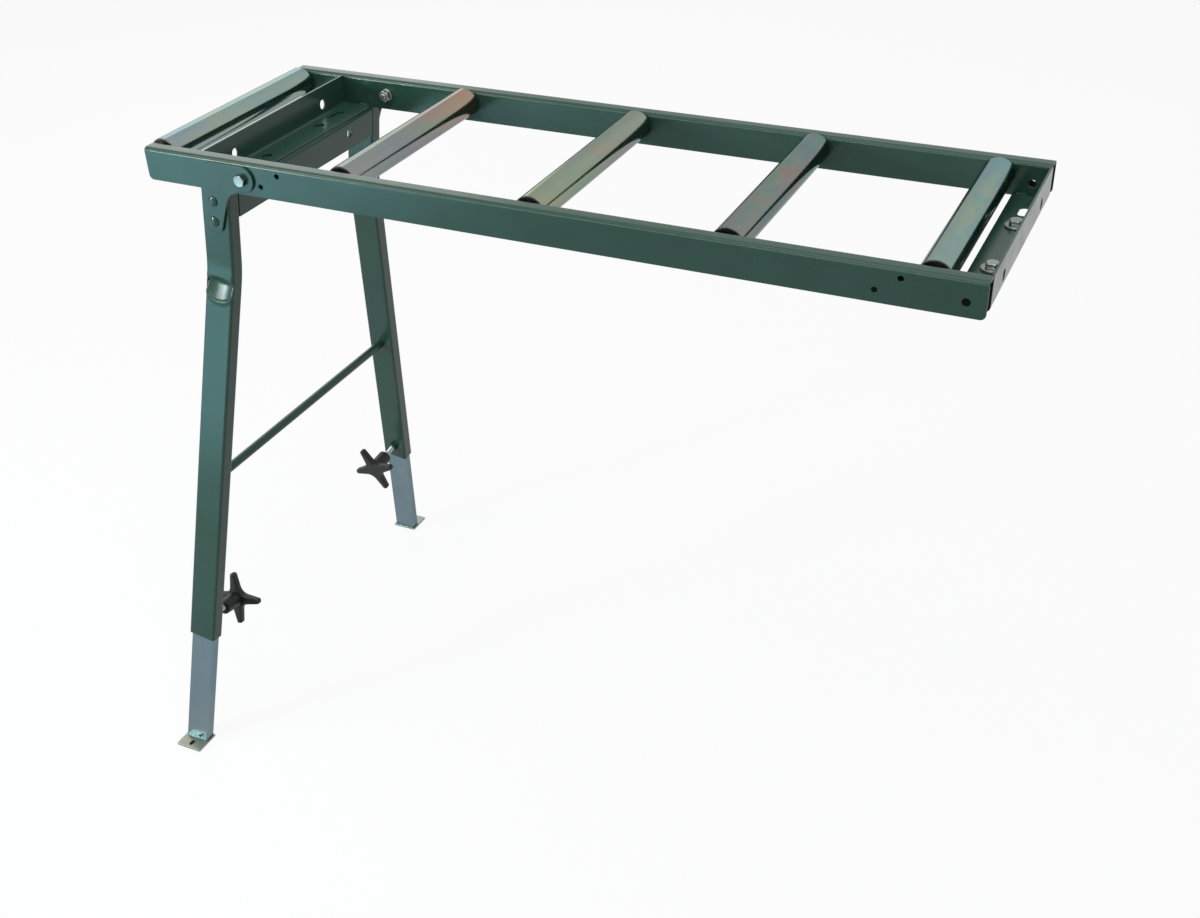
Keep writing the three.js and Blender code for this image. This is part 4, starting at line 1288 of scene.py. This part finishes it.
def weld_bead(name, start, end, radius, body, place=Matrix()):
    start, end = Vector(start), Vector(end)
    direction = (end - start).normalized()
    length = (end - start).length
    helper = Vector((0, 0, 1)) if abs(direction.z) < 0.9 else Vector((1, 0, 0))
    first = direction.cross(helper).normalized()
    second = direction.cross(first)
    rows = int(length / WELD_STEP)
    rings = []
    for row in range(rows + 1):
        share = row / rows
        run = length * share
        ripple = 1 - WELD_RIPPLE * (1 - abs(sin(run * pi / WELD_RIPPLE_PITCH)))
        taper = sqrt(max(0.0, 1 - abs(2 * share - 1) ** WELD_END_SHARPNESS))
        wander = WELD_WANDER * radius * sin(run * WELD_WANDER_RATE)
        middle = start + direction * run + first * wander
        outline = circle(0, 0, max(radius * ripple * taper, WELD_LEAST_R), WELD_AROUND)
        rings.append([tuple(middle + first * u + second * v) for u, v in outline])
    obj = loft_object(name, rings, place)
    finish_piece(obj, GREEN, body, sharp=60)


for name, side in SIDES:
    y, z = side * (INNER_WEB - RAIL_WELD_SINK), RAIL_BOTTOM + ANGLE_WALL
    outer_x = corners_mm("outer_angle")[1].x - RAIL_WELD_LENGTH - RAIL_WELD_INSET
    for end, x in (("machine", RAIL_WELD_INSET - ANGLE_LEG), ("outer", outer_x)):
        finish = (x + RAIL_WELD_LENGTH, y, z)
        weld_bead(f"{name}_{end}_weld", (x, y, z), finish, RAIL_WELD_R, "table_frame")
    x, y = -LEG_FACE - CROSS_WELD_BACK, side * (HALF_WIDTH - LEG_WIDTH - SEAT_GAP)
    top = LEG_START - CROSS_WELD_TOP
    finish = (x, y, top - CROSS_WELD_LENGTH)
    weld_bead(f"{name}_cross_weld", (x, y, top), finish, CROSS_WELD_R, "leg_frame", LEG_PLACE)


# Stage

def background_rays(tree):
    """1 on the rays that show the background: camera, glossy and transmission rays."""
    path = tree.nodes.new("ShaderNodeLightPath")
    seen = path.outputs["Is Camera Ray"]
    for kind in ("Is Glossy Ray", "Is Transmission Ray"):
        either = tree.nodes.new("ShaderNodeMath")
        either.operation = "MAXIMUM"
        tree.links.new(seen, either.inputs[0])
        tree.links.new(path.outputs[kind], either.inputs[1])
        seen = either.outputs[0]
    return seen


def pale_floor():
    """A white floor that keeps a faint shadow: part of its white is its own, part is lit."""
    n = Nodes("pale_floor")
    seen = background_rays(n.tree)
    n.set(Base_Color=n.mix(seen, FLOOR_BOUNCE, FLOOR_SEEN), Roughness=0.9, Specular_IOR_Level=0.1)
    own = n.add("ShaderNodeMath", {1: FLOOR_OWN_WHITE}, operation="MULTIPLY")
    n.link(seen, own.inputs[0])
    white = n.add("ShaderNodeEmission")
    mixed = n.add("ShaderNodeMixShader")
    n.link(own.outputs[0], mixed.inputs["Fac"])
    n.link(n.shader.outputs["BSDF"], mixed.inputs[1])
    n.link(white.outputs["Emission"], mixed.inputs[2])
    n.link(mixed.outputs["Shader"], n.tree.nodes["Material Output"].inputs["Surface"])
    reach = FLOOR_REACH / MM
    corners = [(-reach, -reach, 0), (reach, -reach, 0), (reach, reach, 0), (-reach, reach, 0)]
    floor = mesh_object("floor", corners, [(0, 1, 2, 3)], shift(z=cad_box[0][2] / MM - FLOOR_GAP))
    floor.data.materials.append(n.material)


def studio_world():
    world = bpy.data.worlds.new("studio")
    bpy.context.scene.world = world
    world.use_nodes = True
    tree = world.node_tree
    mixed = tree.nodes.new("ShaderNodeMix")
    mixed.data_type = "RGBA"
    mixed.inputs[COLOUR_A].default_value = (*AMBIENT, 1)
    mixed.inputs[COLOUR_B].default_value = (*WORLD_SEEN, 1)
    tree.links.new(background_rays(tree), mixed.inputs["Factor"])
    tree.links.new(mixed.outputs[COLOUR_OUT], tree.nodes["Background"].inputs["Color"])


def lamp(name, place, width, power, colour, height=None, target=LAMP_TARGET):
    light = bpy.data.lights.new(name, "AREA")
    light.shape = "RECTANGLE"
    light.size = width
    light.size_y = height or width
    light.energy = power
    light.color = colour
    obj = bpy.data.objects.new(name, light)
    obj.location = place
    obj.rotation_euler = (target - Vector(place)).to_track_quat("-Z", "Y").to_euler()
    bpy.context.collection.objects.link(obj)
    return obj


def photo_camera():
    az, el = CAMERA_AZIMUTH, CAMERA_ELEVATION
    back = Vector((sin(az) * cos(el), -cos(az) * cos(el), sin(el)))
    right = Vector((cos(az), sin(az), 0))
    up = back.cross(right)
    c, s = cos(CAMERA_ROLL), sin(CAMERA_ROLL)
    axes = (c * right + s * up, c * up - s * right, back)
    data = bpy.data.cameras.new("photo_camera")
    data.sensor_fit = "HORIZONTAL"
    data.sensor_width = SENSOR_MM
    data.lens = FOCAL_PIXELS / IMAGE_WIDTH * SENSOR_MM
    data.clip_start = 0.01
    camera = bpy.data.objects.new("photo_camera", data)
    camera.matrix_world = Matrix.Translation(CAMERA_AT) @ Matrix(axes).transposed().to_4x4()
    bpy.context.collection.objects.link(camera)
    bpy.context.scene.camera = camera


pale_floor()
studio_world()
for settings in LAMPS:
    lamp(*settings)
# The card shows only as a bright line along the rails' bends.
card = lamp("edge_card", CARD_AT, CARD_WIDTH, CARD_WATTS, CARD_COLOUR, CARD_HEIGHT, CARD_TARGET)
card.visible_diffuse = False
photo_camera()
bpy.context.scene.view_settings.view_transform = "Standard"
